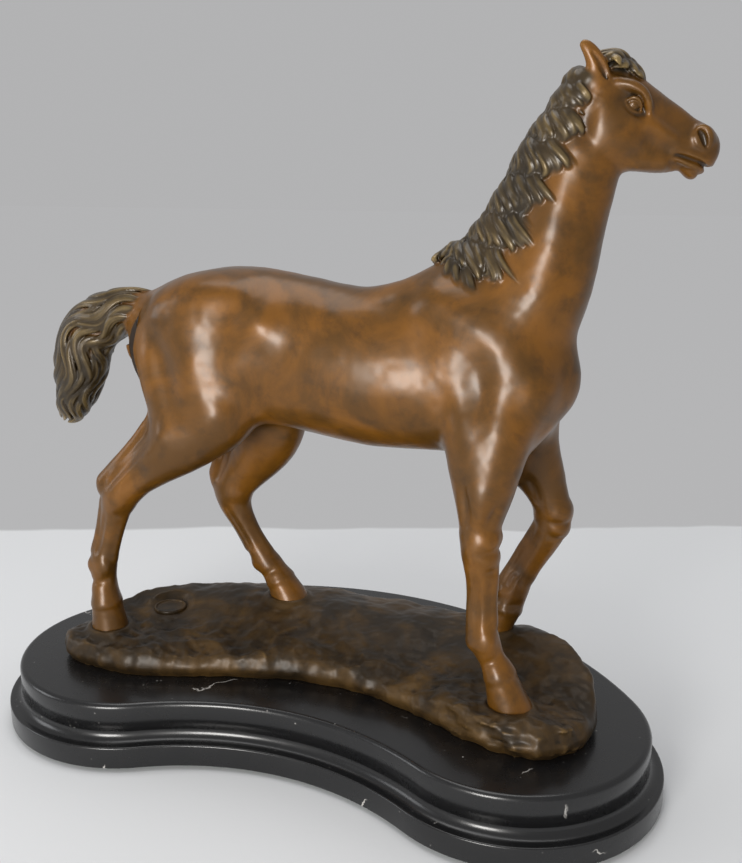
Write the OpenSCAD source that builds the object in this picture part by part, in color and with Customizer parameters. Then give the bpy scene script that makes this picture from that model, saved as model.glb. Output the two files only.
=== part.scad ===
// Bronze horse on a two-tier marble plinth, built from its separate castings and fixings.
// +X is the way the horse faces, -Y is its right side and +Z is up.
// The origin is the middle of the underside, at the bottom of the felt. Sizes are in millimetres.

/* [Plinth] */
// Length of the marble, end to end
plinth_length = 320; // [310:5:330]
// Radius of the round lobe at each end
lobe_radius = 64.5; // [62:0.5:67]
// Radius of the hollow front edge
waist_radius = 126; // [116:2:140]
// Radius of the bowed back edge
bow_radius = 182; // [172:2:200]
// Height of the top of the marble above the underside of the felt
plinth_top = 30; // [29:0.5:31]
// Height of the top of the lower tier
lower_tier_top = 12; // [10:0.5:14]
// How far the upper tier is set in
tier_step = 6.6; // [5:0.2:9]
// Radius of the rounded top edge
top_edge_radius = 2.4; // [1:0.2:3]
// Thickness of the felt
felt = 1.5; // [1:0.5:2]

/* [Ground casting] */
// Thickness of the bronze ground above its hollow
ground_wall = 5; // [4:0.5:6]
// Height of the ground under the near-side hooves
near_ground = 44.5; // [44:0.5:46]
// Height of the ground under the far-side hooves
far_ground = 53.5; // [52.5:0.5:54.5]
// Diameter of the blank foundry seal
seal_diameter = 16; // [12:1:18]

/* [Horse castings] */
// Wall thickness of the hollow castings
bronze_wall = 3; // [2.5:0.5:4]
// How far the head is turned to the horse's left, in degrees
head_turn = 18; // [10:1:24]
// Slope of the head below level, in degrees
head_slope = 32; // [29:1:35]
// Height of the upright ear
ear_length = 15; // [12:0.5:16]

/* [Fixings] */
// Diameter of the studs that hold the ground to the plinth
stud_diameter = 6; // [5:0.5:7]
// Diameter of the studs in the hooves
hoof_stud_diameter = 3; // [3:0.5:4]
// Diameter of the dowels in the legs
dowel_diameter = 4; // [3:0.5:5]

/* [Hidden] */

bronze = "saddlebrown";
dark_bronze = "sienna";
marble = "dimgray";
steel = "silver";
clearance = 0.1;
big = 400;

// Plan of the plinth: two lobes, a hollow front arc and a bowed back arc, all tangent.
lobe_x = plinth_length / 2 - lobe_radius;
waist_y = -sqrt(pow(lobe_radius + waist_radius, 2) - pow(lobe_x, 2));
bow_y = -sqrt(pow(bow_radius - lobe_radius, 2) - pow(lobe_x, 2));
plan_y = -(bow_y + bow_radius - lobe_radius) / 2;
lobe_from = atan2(-bow_y, -lobe_x);
lobe_to = 360 + atan2(waist_y, lobe_x);
waist_half_angle = atan2(lobe_x, -waist_y);
bow_half_angle = atan2(lobe_x, -bow_y);
plan_steps = 19;

// The studs under the ground and the four hooves, as x and y.
stud_places = [[-72, -24], [22, 6], [98, -10]];
counterbore_depth = 9;
counterbore_radius = 8;
washer_thickness = 1.2;
washer_radius = 6.2;
nut_height = 5;
nut_flats = 10;
boss_radius = 6.5;
washer_play = 0.4;
nut_chamfer = 0.5;

// The horse stands a little in front of the middle of the plinth.
horse_y = -12;
near_y = -26;
far_y = 26;

// Each hoof: x, y from the horse's middle, height of the ground under it, radius of its seat.
hooves = [[96, -28, near_ground, 12], [80.5, 25, far_ground, 7.5],
    [-106, -23, near_ground, 12], [-31, 23, far_ground, 12]];
hoof_nut_height = 2.4;
hoof_nut_flats = 5.5;
hoof_washer_thickness = 0.6;
hoof_washer_radius = 3.5;
stud_in_hoof = 8;

// The slope of the ground from the near hooves to the far ones, and the ceiling below it.
ground_slope = (far_ground - near_ground) / (far_y - near_y);
ground_tilt = atan(ground_slope);
ceiling_cap = far_ground - ground_wall;
hollow_inset = 8.5;

// The blank foundry seal: a shallow dish let into the ground, its rim standing proud.
seal_place = [-86, -11.5];
seal_sunk = 1.6;
seal_height = 2.2;
seal_floor = 1.7;
seal_rim = 1.5;

// Outline of the ground casting, anticlockwise from its right end.
ground_outline = [[131, -24], [124, -2], [112, 13], [97, 23], [80, 28], [58, 32], [28, 38],
    [0, 40], [-28, 38], [-56, 31], [-82, 17], [-104, -1], [-120, -19], [-128, -37], [-121, -50],
    [-100, -55], [-80, -54], [-56, -47], [-32, -38], [-6, -32], [22, -32], [46, -38], [68, -47],
    [88, -56], [109, -58], [126, -47]];
ground_centre = [5, -2];

// ---- Curves and rings ----

function unit(v) = v / norm(v);
function curve_point(a, b, c, d, t) =
    0.5 * (2 * b + (c - a) * t + (2 * a - 5 * b + 4 * c - d) * t * t
    + (3 * b - a - 3 * c + d) * t * t * t);
// A smooth open row of stations, with n steps between each pair.
function smooth_row(row, n) = let (last = len(row) - 1) concat(
    [for (i = [0:last - 1]) for (k = [0:n - 1])
        curve_point(row[max(i - 1, 0)], row[i], row[i + 1], row[min(i + 2, last)], k / n)],
    [row[last]]);
// A smooth closed row of points.
function smooth_loop(row, n) = let (c = len(row))
    [for (i = [0:c - 1]) for (k = [0:n - 1])
        curve_point(row[(i + c - 1) % c], row[i], row[(i + 1) % c], row[(i + 2) % c], k / n)];
function place(s) = [s[0], s[1], s[2]];

// One ring of a swept form. A station is x, y, z, half depth, half width and egg, where egg
// narrows the side that faces the back of the horse. grow is added to both half sizes.
function ring(rows, i, sides, grow) =
    let (last = len(rows) - 1,
        t = unit(place(rows[min(i + 1, last)]) - place(rows[max(i - 1, 0)])),
        across = unit([0, 1, 0] - t[1] * t),
        deep = cross(t, across),
        s = rows[i],
        d = max(s[3] + grow, 0.4),
        w = max(s[4] + grow, 0.4))
    [for (k = [0:sides - 1]) let (a = 360 * k / sides)
        place(s) + deep * d * cos(a) + across * w * sin(a) * (1 - s[5] * cos(a))];

// A closed body swept along a row of stations.
module sweep(row, steps = 3, sides = 16, grow = 0) {
    rows = smooth_row(row, steps);
    count = len(rows);
    points = [for (i = [0:count - 1]) each ring(rows, i, sides, grow)];
    skin = [for (i = [0:count - 2]) for (k = [0:sides - 1])
        let (n = (k + 1) % sides)
        [i * sides + k, i * sides + n, (i + 1) * sides + n, (i + 1) * sides + k]];
    first_cap = [for (k = [0:sides - 1]) sides - 1 - k];
    last_cap = [for (k = [0:sides - 1]) (count - 1) * sides + k];
    polyhedron(points, concat([first_cap], skin, [last_cap]), convexity = 6);
}

// A muscle or bone end: the skin stretched over balls of x, y, z and radius.
module muscle(balls, sides = 12) {
    hull() for (b = balls) translate(place(b)) sphere(b[3], $fn = sides);
}

// The same on the right side of the horse and on its left.
module both_sides() {
    children();
    mirror([0, 1, 0]) children();
}

// ---- Plinth ----

// Everything on or under the plan of the plinth is drawn about the line of its lobes.
module on_plan() {
    translate([0, plan_y, 0]) children();
}

// The outer edge of the marble in section: how far in from the plan, and the height.
function edge_section() =
    let (face = tier_step - 0.6, cove = tier_step - 2.4, r = top_edge_radius, soft = 0.8)
    concat([[soft, felt], [0, felt + soft]],
        [for (a = [0:45:90]) [soft * (1 - cos(a)), lower_tier_top - soft * (1 - sin(a))]],
        [for (a = [270:-30:180])
            [tier_step - cove * (1 + cos(a)), lower_tier_top + cove * (1 + sin(a))]],
        [[tier_step, lower_tier_top + cove + 0.7], [face, lower_tier_top + cove + 1]],
        [for (a = [0:30:90]) [face + r * (1 - cos(a)), plinth_top - r * (1 - sin(a))]]);

// Points round an arc of the plan, without its last point.
function plan_arc(centre, radius, from, to, n) =
    [for (i = [0:n - 1]) let (a = from + (to - from) * i / n)
        [centre[0] + radius * cos(a), centre[1] + radius * sin(a)]];
// The whole plan, set in from the edge by one amount all round, anticlockwise.
function plan_points(inset, n) = concat(
    plan_arc([-lobe_x, 0], lobe_radius - inset, lobe_from, lobe_to, n),
    plan_arc([0, waist_y], waist_radius + inset, 90 + waist_half_angle, 90 - waist_half_angle, n),
    plan_arc([lobe_x, 0], lobe_radius - inset, 180 - lobe_to, 180 - lobe_from, n),
    plan_arc([0, bow_y], bow_radius - inset, 90 - bow_half_angle, 90 + bow_half_angle, n));

// A stack of rings of [x, y, z], closed by a fan at its bottom and another at its top.
module stacked(rings, bottom, top) {
    sides = len(rings[0]);
    count = len(rings);
    skin = [for (i = [0:count - 2]) for (k = [0:sides - 1])
        let (n = (k + 1) % sides)
        each [[i * sides + k, (i + 1) * sides + k, (i + 1) * sides + n],
            [i * sides + k, (i + 1) * sides + n, i * sides + n]]];
    bottom_fan = [for (k = [0:sides - 1]) [count * sides, k, (k + 1) % sides]];
    top_fan = [for (k = [0:sides - 1])
        [count * sides + 1, (count - 1) * sides + (k + 1) % sides, (count - 1) * sides + k]];
    polyhedron(concat([for (r = rings) each r], [bottom, top]),
        concat(skin, bottom_fan, top_fan), convexity = 8);
}

module plinth_body() {
    on_plan() stacked([for (e = edge_section())
        [for (p = plan_points(e[0], plan_steps)) [p[0], p[1], e[1]]]],
        [0, -plan_y, felt], [0, -plan_y, plinth_top]);
}

module at_studs() {
    for (p = stud_places) translate([p[0], p[1], 0]) children();
}

module base_felt() {
    color("darkgreen") on_plan() linear_extrude(felt) polygon(plan_points(3, plan_steps));
}

module marble_plinth() {
    color(marble) difference() {
        plinth_body();
        at_studs() {
            translate([0, 0, felt - 1]) cylinder(counterbore_depth + 1, r = counterbore_radius, $fn = 48);
            cylinder(big, d = stud_diameter + 1, $fn = 48);
        }
    }
}

washer_bottom = felt + counterbore_depth - washer_thickness;
nut_bottom = washer_bottom - nut_height;
stud_top = plinth_top + 9;

module plinth_studs() {
    color(steel) at_studs() translate([0, 0, nut_bottom - 1])
        cylinder(stud_top - nut_bottom + 1, d = stud_diameter, $fn = 48);
}

module plinth_washers() {
    color(steel) at_studs() translate([0, 0, washer_bottom]) difference() {
        cylinder(washer_thickness, r = washer_radius, $fn = 48);
        translate([0, 0, -1]) cylinder(washer_thickness + 2, d = stud_diameter + washer_play, $fn = 48);
    }
}

// A hexagon nut with a plain bore and chamfered corners.
module nut(flats, height, bore) {
    corner = flats / sqrt(3);
    difference() {
        intersection() {
            cylinder(height, r = corner, $fn = 6);
            rotate_extrude($fn = 48) polygon([[0, 0], [flats / 2, 0], [corner + 0.1, nut_chamfer],
                [corner + 0.1, height - nut_chamfer], [flats / 2, height], [0, height]]);
        }
        translate([0, 0, -1]) cylinder(height + 2, d = bore, $fn = 48);
    }
}

module plinth_nuts() {
    color(steel) at_studs() translate([0, 0, nut_bottom])
        nut(nut_flats, nut_height, stud_diameter);
}

// ---- Ground ----

function ease(t) = let (c = min(max(t, 0), 1)) c * c * (3 - 2 * c);
// Height of the ground's rough top.
function ground_height(x, y) =
    near_ground - 0.6 + (far_ground - near_ground) * ease((y - horse_y - near_y) / (far_y - near_y))
    - 0.15 * max(y - horse_y - far_y, 0)
    + 0.7 * sin(7 * x + 4 * y) + 0.6 * cos(9 * y - 5 * x);
function ground_point(edge, inset, z) =
    let (v = edge - ground_centre, p = ground_centre + v * (1 - inset / norm(v)))
    [p[0], p[1], z];
function ground_ring(edge, share, drop) =
    [for (e = edge) let (p = ground_centre + (e - ground_centre) * share)
        [p[0], p[1], ground_height(p[0], p[1]) - drop]];

module ground_mass() {
    edge = smooth_loop(ground_outline, 3);
    centre = [ground_centre[0], ground_centre[1]];
    stacked([
        [for (e = edge) ground_point(e, 1.2, plinth_top)],
        [for (e = edge) ground_point(e, 0, plinth_top + 3)],
        [for (e = edge) ground_point(e, 0.4, plinth_top + 7)],
        ground_ring(edge, 0.965, 2.6),
        ground_ring(edge, 0.9, 0.6),
        ground_ring(edge, 0.72, 0),
        ground_ring(edge, 0.5, 0),
        ground_ring(edge, 0.25, 0)],
        [centre[0], centre[1], plinth_top],
        [centre[0], centre[1], ground_height(centre[0], centre[1])]);
}

// Everything below the sloping ceiling of the hollow under the ground.
module below_ceiling(lower = 0) {
    intersection() {
        translate([0, horse_y + near_y, near_ground - ground_wall - lower])
            rotate([ground_tilt, 0, 0]) translate([-big / 2, -big / 2, -big]) cube([big, big, big]);
        translate([-big / 2, -big / 2, -big]) cube([big, big, big + ceiling_cap - lower]);
    }
}

module ground_hollow() {
    hollow_edge = [for (e = smooth_loop(ground_outline, 2))
        ground_centre + (e - ground_centre) * (1 - hollow_inset / norm(e - ground_centre))];
    intersection() {
        below_ceiling();
        translate([0, 0, plinth_top - 1]) linear_extrude(30) polygon(hollow_edge);
    }
}

module at_hooves() {
    for (h = hooves) translate([h[0], horse_y + h[1], h[2]]) children();
}

module ground_casting() {
    color(dark_bronze) difference() {
        union() {
            ground_mass();
            for (h = hooves) translate([h[0], horse_y + h[1], plinth_top + 5])
                cylinder(h[2] - plinth_top - 5, r = h[3], $fn = 40);
        }
        ground_hollow();
        for (h = hooves) translate([h[0], horse_y + h[1], h[2]]) cylinder(20, r = h[3], $fn = 40);
        at_hooves() translate([0, 0, -20])
            cylinder(21, d = hoof_stud_diameter + 2 * clearance, $fn = 24);
        translate([seal_place[0], seal_place[1], seal_top - seal_sunk])
            cylinder(20, d = seal_diameter + 2 * clearance, $fn = 40);
    }
}

seal_top = near_ground + 3;

module foundry_seal() {
    color(bronze) translate([seal_place[0], seal_place[1], seal_top - seal_sunk]) difference() {
        cylinder(seal_height, d = seal_diameter, $fn = 48);
        translate([0, 0, seal_floor]) cylinder(2, d = seal_diameter - 2 * seal_rim, $fn = 48);
    }
}

module stud_bosses() {
    color(dark_bronze) difference() {
        intersection() {
            at_studs() translate([0, 0, plinth_top]) cylinder(30, r = boss_radius, $fn = 40);
            below_ceiling();
        }
        at_studs() translate([0, 0, plinth_top - 1])
            cylinder(stud_top - plinth_top + 1, d = stud_diameter, $fn = 48);
    }
}

// ---- Horse: forms. These are drawn about the horse's own middle plane. ----

barrel_row = [[-85, 0, 192, 7, 9, 0], [-79, 0, 188, 19, 17, 0.1], [-68, 0, 185, 29, 23, 0.12],
    [-52, 0, 184, 34, 26, 0.12], [-34, 0, 185, 35, 27, 0.15], [-16, 0, 184, 34, 27, 0.1],
    [4, 0, 181, 33.5, 27, 0.08], [24, 0, 179, 34, 27.5, 0.1], [44, 0, 181, 36, 26, 0.18],
    [62, 0, 184, 38, 23, 0.3], [80, 0, 182, 34, 21, 0.3], [92, 0, 178, 27, 19, 0.1],
    [101, 0, 174, 18, 14, 0], [106, 0, 172, 8, 7, 0]];
neck_row = [[58, 0, 182, 30, 18, 0.3], [74, 0, 199, 31, 18, 0.4], [87, 0, 213, 27, 16.5, 0.4],
    [95, 0, 228, 22.8, 14.5, 0.35], [101, 0, 243, 19.8, 13, 0.25], [107, 0, 258, 18.4, 12.2, 0.15],
    [112.5, 0, 270, 17.5, 11.5, 0.05], [114.5, 0, 283, 12.5, 10.5, 0]];

// Rows for the legs: the first stations lie inside the trunk.
right_fore_row = [[86, -15, 182, 14, 6, 0], [82, -19, 162, 16, 9, 0], [80, -22, 146, 14, 9.5, 0],
    [80.5, -24.5, 130, 10, 8, 0], [81, -25.5, 119, 8.6, 7.6, 0], [81.5, -26, 111, 8.6, 7.8, 0],
    [82.5, -26.5, 102, 6.8, 6.4, 0], [83, -27, 92, 5.4, 4.8, 0], [83.4, -27.4, 81, 5.4, 5, 0],
    [84, -27.7, 73, 7, 6.2, 0], [87.5, -27.8, 65, 5.6, 5.6, 0], [91.5, -28, 59, 6.4, 6.8, 0],
    [93.7, -28, 52, 7.8, 8, 0], [95.5, -28, 42, 9.6, 9.2, 0]];
left_fore_row = [[86, 15, 184, 13, 6, 0], [88, 19, 163, 14.5, 9, 0], [90, 21.5, 147, 12, 9.5, 0],
    [95, 23.5, 132, 10.5, 8.5, 0], [99.5, 24.5, 121, 9, 7.8, 0], [103, 25, 111.5, 8, 7.8, 0],
    [99.5, 25, 101, 7, 6.6, 0], [93.5, 25, 90, 5.8, 5, 0], [87.8, 25, 80, 7, 5.8, 0],
    [85.5, 25, 73, 7, 5.8, 0], [84, 25, 68, 7.2, 6.6, 0], [81, 25, 61, 6.6, 7, 0],
    [78.5, 25, 51, 5, 6.6, 0]];
right_hind_row = [[-46, -13, 180, 25, 8, 0], [-50, -16, 162, 25, 11, 0], [-58, -19, 147, 18, 11.5, 0],
    [-69, -21, 136, 12.5, 10, 0], [-83, -21.5, 125.5, 10, 8, 0], [-96, -21.5, 114, 9.8, 7.4, 0],
    [-99.5, -21.5, 103, 6.8, 6.6, 0], [-103.8, -22, 90, 5.5, 5.4, 0], [-108, -22.3, 77, 7.6, 6.6, 0],
    [-108, -22.6, 68, 5.8, 6, 0], [-106.8, -23, 59, 6.8, 7.2, 0], [-106.4, -23, 51, 8.2, 8.6, 0],
    [-106, -23, 42, 9.6, 9.6, 0]];
left_hind_row = [[-44, 13, 180, 26, 8, 0], [-39, 16, 160, 26, 11, 0], [-38, 19, 143, 20, 11.5, 0],
    [-43, 21, 130, 15, 10, 0], [-52.5, 21.5, 118.5, 12, 8.4, 0], [-60, 21.5, 109, 11.4, 7.4, 0],
    [-59, 21.8, 99, 8.4, 6.8, 0], [-52.8, 22, 88, 6, 5.4, 0], [-46, 22.4, 77, 5.8, 5.8, 0],
    [-40.5, 22.7, 69, 6.8, 6.4, 0], [-36, 23, 62.5, 6.2, 6.8, 0], [-32, 23, 57, 8, 8.4, 0],
    [-30, 23, 50, 9.6, 9.4, 0]];

// The tail: out behind the dock, over, and down to its tip.
tail_row = [[-70, 0, 202, 8, 8, 0], [-82, 0, 199, 8, 7, 0], [-98, 0, 198, 9.5, 7.5, 0],
    [-113, 0, 193.5, 12.5, 9, 0], [-124.5, 0, 184, 15.2, 10.5, 0], [-130, 0, 168, 15.6, 11, 0],
    [-132.5, 0, 155, 13.5, 9.5, 0], [-136.5, 0, 146, 9, 7.5, 0], [-140.5, 0, 138.5, 3, 3, 0]];

// The head, along its own axis from the poll: x along, z up from the axis.
poll = [114, 0, 296];
head_row = [[-6, 0, -5, 8, 8.5, 0], [4, 0, -6, 13, 11, 0], [13, 0, -7.3, 15.3, 12, 0],
    [22, 0, -7.4, 15.6, 11.8, 0], [30, 0, -6.2, 14.4, 10.2, 0], [36, 0, -4.6, 12.8, 8.6, 0],
    [42, 0, -2.2, 10.4, 7.4, 0], [46.5, 0, -0.2, 8.6, 7.4, 0], [50.5, 0, 0.4, 6.8, 7, 0],
    [53.5, 0, -0.6, 4, 4.8, 0]];

module head_frame() {
    translate(poll) rotate([0, 0, head_turn]) rotate([0, head_slope, 0]) children();
}

module head_form() {
    head_frame() {
        sweep(head_row, 2, 18);
        // Cheeks
        both_sides() muscle([[16, -8, -15, 6], [25, -7.5, -14, 5], [18, -9, -6, 4]], 10);
        // Brows
        both_sides() muscle([[13, -9, 3, 3], [21, -8.4, 4, 2.6]], 10);
        // Nostrils
        both_sides() muscle([[43.5, -5, 4.4, 2.8], [48, -4.6, 2, 2.4]], 10);
        // Upper lip and chin
        muscle([[49, 0, -1.5, 4.6], [53.4, 0, -1.6, 2.4]], 12);
        muscle([[45, 0, -8, 3], [50, 0, -8.4, 3], [53, 0, -6.4, 2]], 12);
        // Forelock
        muscle([[3, 0, 8.5, 3.4], [13, 0, 8.6, 2.8], [9, -4, 8, 3]], 10);
    }
    ear(-6.5, -20);
    ear(6.5, -20);
}

// One ear, a pointed leaf that leans back.
module ear(y, lean) {
    translate(poll) rotate([0, 0, head_turn]) translate([-1, y, -1])
        rotate([0, lean, 0]) hull() {
            sphere(3.2, $fn = 10);
            translate([0, 0, ear_length * 0.5]) sphere(2.8, $fn = 10);
            translate([0, 0, ear_length - 1]) sphere(0.8, $fn = 8);
        }
}

// Locks of mane that fall from the crest over the right side of the neck.
lock_count = 9;
module mane_form() {
    crest = smooth_row([[64, 0, 228.5], [73, 0, 242], [81, 0, 257], [89, 0, 272], [103, 0, 289]], 4);
    for (i = [0:lock_count - 1]) {
        c = crest[round(i * 15 / (lock_count - 1))];
        muscle([[c[0], -1, c[2], 4], [c[0] + 10, -12.5, c[2] - 6, 3],
            [c[0] + 14, -14.5, c[2] - 16, 2.2]], 8);
    }
}

module shoulder_form() {
    both_sides() {
        // Shoulder blade, point of the shoulder and upper arm
        muscle([[62, -9, 208, 10], [80, -13, 196, 9], [95, -12, 176, 10], [86, -14, 166, 10]]);
        muscle([[95, -12, 176, 9], [90, -12, 158, 9], [76, -15, 160, 9]]);
        // Breast
        muscle([[99.5, -8, 176, 7.5], [99, -8, 160, 8], [88, -10, 155, 8]]);
    }
}

module haunch_form() {
    both_sides() {
        muscle([[-36, -13, 203, 11], [-60, -12, 202, 12], [-74, -13, 184, 11], [-58, -16, 168, 13],
            [-36, -17, 172, 11]]);
        muscle([[-64, -16, 168, 13], [-70, -16, 180, 10], [-46, -17, 156, 13]]);
    }
}

module horse_form() {
    sweep(barrel_row, 2, 24);
    sweep(neck_row, 2, 20);
    shoulder_form();
    haunch_form();
    mane_form();
    head_form();
    sweep(right_fore_row, 2, 12);
    sweep(left_fore_row, 2, 12);
    sweep(right_hind_row, 2, 12);
    sweep(left_hind_row, 2, 12);
    sweep(tail_row, 2, 16);
}

// ---- Horse: where the castings are parted ----

// Each leg's weld: a point on the leg's axis and the lean of the leg there, in degrees.
leg_welds = [[82.5, -23, 140, 0], [92, 22, 141, -16], [-70, -21, 135, 50], [-45, 21, 129, 30]];
tail_weld = [-84, 0, 199];
neck_weld = [85, 0, 211];
neck_lean = 25;

// The space past one leg's weld, on that leg's own side.
module leg_space(weld) {
    difference() {
        intersection() {
            translate(place(weld)) rotate([0, weld[3], 0]) translate([-70, -60, -150])
                cube([140, 120, 150]);
            translate([-big, weld[1] > 0 ? 1 : -61, 0]) cube([2 * big, 60, 170]);
        }
        tail_space();
    }
}

module tail_space() {
    translate([tail_weld[0] - 100, -12.5, 128]) cube([100, 25, 100]);
}

module neck_space() {
    translate(neck_weld) rotate([0, neck_lean, 0]) translate([-60, -60, 0]) cube([150, 120, 150]);
}

module stand() {
    translate([0, horse_y, 0]) children();
}

// The hollow inside the trunk and the neck, open only at the neck's weld.
module trunk_hollow() {
    rows = [for (s = barrel_row) if (s[0] > -70 && s[0] < 90) s];
    sweep(rows, 2, 16, -bronze_wall);
    neck_hollow();
}

module neck_hollow() {
    rows = [for (s = neck_row) if (s[2] < 270) s];
    sweep(rows, 2, 16, -bronze_wall);
}

module leg_casting(index) {
    weld = leg_welds[index];
    hoof = hooves[index];
    color(bronze) stand() difference() {
        intersection() {
            horse_form();
            leg_space(weld);
            translate([-big / 2, -big / 2, hoof[2]]) cube([big, big, big]);
        }
        dowel_at(weld, dowel_diameter + 2 * clearance, 0.5);
        translate([hoof[0], hoof[1], hoof[2] - 1])
            cylinder(stud_in_hoof + 1.5, d = hoof_stud_diameter + 2 * clearance, $fn = 16);
    }
}

module right_foreleg() { leg_casting(0); }
module left_foreleg() { leg_casting(1); }
module right_hind_leg() { leg_casting(2); }
module left_hind_leg() { leg_casting(3); }

module dowel_at(weld, diameter, extra) {
    translate(place(weld)) rotate([0, weld[3], 0]) translate([0, 0, -dowel_half - extra])
        cylinder(2 * (dowel_half + extra), d = diameter, $fn = 24);
}
dowel_half = 8;

module leg_dowels() {
    color(steel) stand() for (weld = leg_welds) dowel_at(weld, dowel_diameter, 0);
}

module tail_pin(diameter, extra) {
    translate([tail_weld[0] - dowel_half - extra, 0, tail_weld[2]]) rotate([0, 90, 0])
        cylinder(2 * (dowel_half + extra), d = diameter, $fn = 24);
}

module tail_dowel() {
    color(steel) stand() tail_pin(dowel_diameter, 0);
}

module tail_casting() {
    color(bronze) stand() difference() {
        intersection() {
            horse_form();
            tail_space();
        }
        tail_pin(dowel_diameter + 2 * clearance, 0.5);
    }
}

plug_places = [[10, 0, 147.6], [40, 0, 145.2]];
plug_radius = 2.5;

module trunk_casting() {
    color(bronze) stand() difference() {
        horse_form();
        neck_space();
        tail_space();
        for (weld = leg_welds) {
            leg_space(weld);
            dowel_at(weld, dowel_diameter + 2 * clearance, 0.5);
        }
        tail_pin(dowel_diameter + 2 * clearance, 0.5);
        trunk_hollow();
        for (p = plug_places) translate([p[0], p[1], p[2] - 4])
            cylinder(8, r = plug_radius + clearance, $fn = 24);
    }
}

module core_plugs() {
    color(bronze) stand() for (p = plug_places) translate(p) cylinder(2.6, r = plug_radius, $fn = 24);
}

module neck_head_casting() {
    color(bronze) stand() difference() {
        intersection() {
            horse_form();
            neck_space();
        }
        neck_hollow();
    }
}

// A backing ring inside the hollow, half on each side of the neck's weld.
module neck_collar() {
    color(dark_bronze) stand() difference() {
        sweep(collar_row(0.3), 1, 16);
        sweep(collar_row(2.3), 1, 16);
    }
}
collar_half = 6;
function collar_row(gap) =
    let (along = [sin(neck_lean), 0, cos(neck_lean)], end = collar_half + gap)
    [for (k = [-1, 0, 1]) let (c = neck_weld + along * k * end)
        [c[0], c[1], c[2], 20 - gap, 11.5 - gap, 0.35]];

// Studs, washers and nuts that hold each hoof down on the ground.
function ceiling_at(hoof) = min(ceiling_cap,
    near_ground - ground_wall + ground_slope * (hoof[1] - near_y));

module hoof_studs() {
    color(steel) for (h = hooves) translate([h[0], horse_y + h[1], ceiling_at(h) - 6])
        cylinder(h[2] + stud_in_hoof - ceiling_at(h) + 6, d = hoof_stud_diameter, $fn = 24);
}

module hoof_washers() {
    color(steel) for (h = hooves)
        translate([h[0], horse_y + h[1], ceiling_at(h) - 1.4]) difference() {
            cylinder(hoof_washer_thickness, r = hoof_washer_radius, $fn = 32);
            translate([0, 0, -1]) cylinder(3, d = hoof_stud_diameter + 0.2, $fn = 24);
        }
}

module hoof_nuts() {
    color(steel) for (h = hooves)
        translate([h[0], horse_y + h[1], ceiling_at(h) - 1.4 - hoof_nut_height])
            nut(hoof_nut_flats, hoof_nut_height, hoof_stud_diameter);
}

base_felt();
marble_plinth();
plinth_studs();
plinth_washers();
plinth_nuts();
ground_casting();
stud_bosses();
foundry_seal();
trunk_casting();
neck_head_casting();
right_foreleg();
left_foreleg();
right_hind_leg();
left_hind_leg();
tail_casting();
neck_collar();
leg_dowels();
tail_dowel();
core_plugs();
hoof_studs();
hoof_washers();
hoof_nuts();
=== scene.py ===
"""A bronze horse walking on a rocky bronze ground, on a kidney-shaped black marble plinth.

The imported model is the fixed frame. Each visible casting is modelled here in clay, which is a
signed distance field on a grid in millimetres, and is skinned as a closed mesh in metres.
"""
import logging
import math
from dataclasses import dataclass, field, replace
from enum import Enum
from typing import ClassVar, Iterator

import bmesh
import bpy
import numpy as np
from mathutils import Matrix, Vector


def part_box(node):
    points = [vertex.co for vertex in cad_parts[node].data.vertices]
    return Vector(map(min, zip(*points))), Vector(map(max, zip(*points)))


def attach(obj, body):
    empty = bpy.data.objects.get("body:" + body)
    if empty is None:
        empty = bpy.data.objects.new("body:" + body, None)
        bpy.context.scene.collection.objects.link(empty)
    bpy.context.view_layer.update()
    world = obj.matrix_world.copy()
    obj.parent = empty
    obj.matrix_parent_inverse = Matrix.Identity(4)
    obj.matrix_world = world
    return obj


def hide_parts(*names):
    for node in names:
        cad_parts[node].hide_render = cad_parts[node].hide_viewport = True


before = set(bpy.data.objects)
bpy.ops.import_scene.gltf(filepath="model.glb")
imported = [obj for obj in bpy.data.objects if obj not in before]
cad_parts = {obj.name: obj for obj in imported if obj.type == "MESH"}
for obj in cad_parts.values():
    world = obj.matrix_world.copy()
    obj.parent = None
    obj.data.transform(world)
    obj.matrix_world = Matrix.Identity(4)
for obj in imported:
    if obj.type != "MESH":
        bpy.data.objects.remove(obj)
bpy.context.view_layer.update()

import openvdb as vdb
from bpy.types import Material, Mesh, Node, NodeSocket as Socket, NodeTree, Object
from mathutils import Matrix, Vector
from numpy import ndarray as Array

LOG = logging.getLogger("bronze_horse")
MM = 0.001
BODY = "root"

Point = tuple[float, float, float]
Rows = list[tuple[float, ...]]


class Side(Enum):
    """The two sides of the horse, as the sign of y."""

    RIGHT = -1
    LEFT = 1


# ---------------------------------------------------------------- clay


def smooth_row(rows: Array, steps: int, closed: bool = False) -> Array:
    """Lay a smooth curve through every station of a row.

    Args:
        rows: One station per line, of any number of values.
        steps: How many steps to take between each two stations.
        closed: Whether the row runs on from its last station to its first.

    Returns:
        The finer row, which still passes through every station.
    """
    rows = np.asarray(rows, float)
    padded = np.vstack([rows[-1:], rows, rows[:2]] if closed else [rows[:1], rows, rows[-1:]])
    t = (np.arange(steps) / steps)[:, None]
    pieces = []
    for a, b, c, d in zip(padded[:-3], padded[1:-2], padded[2:-1], padded[3:]):
        pieces.append(0.5 * (2 * b + (c - a) * t + (2 * a - 5 * b + 4 * c - d) * t**2
                             + (3 * b - a - 3 * c + d) * t**3))
    return np.vstack(pieces if closed else pieces + [rows[-1:]])


def eased(share: Array) -> Array:
    """Ease a share from 0 to 1, so that it starts and ends level."""
    return share * share * (3 - 2 * share)


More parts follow.
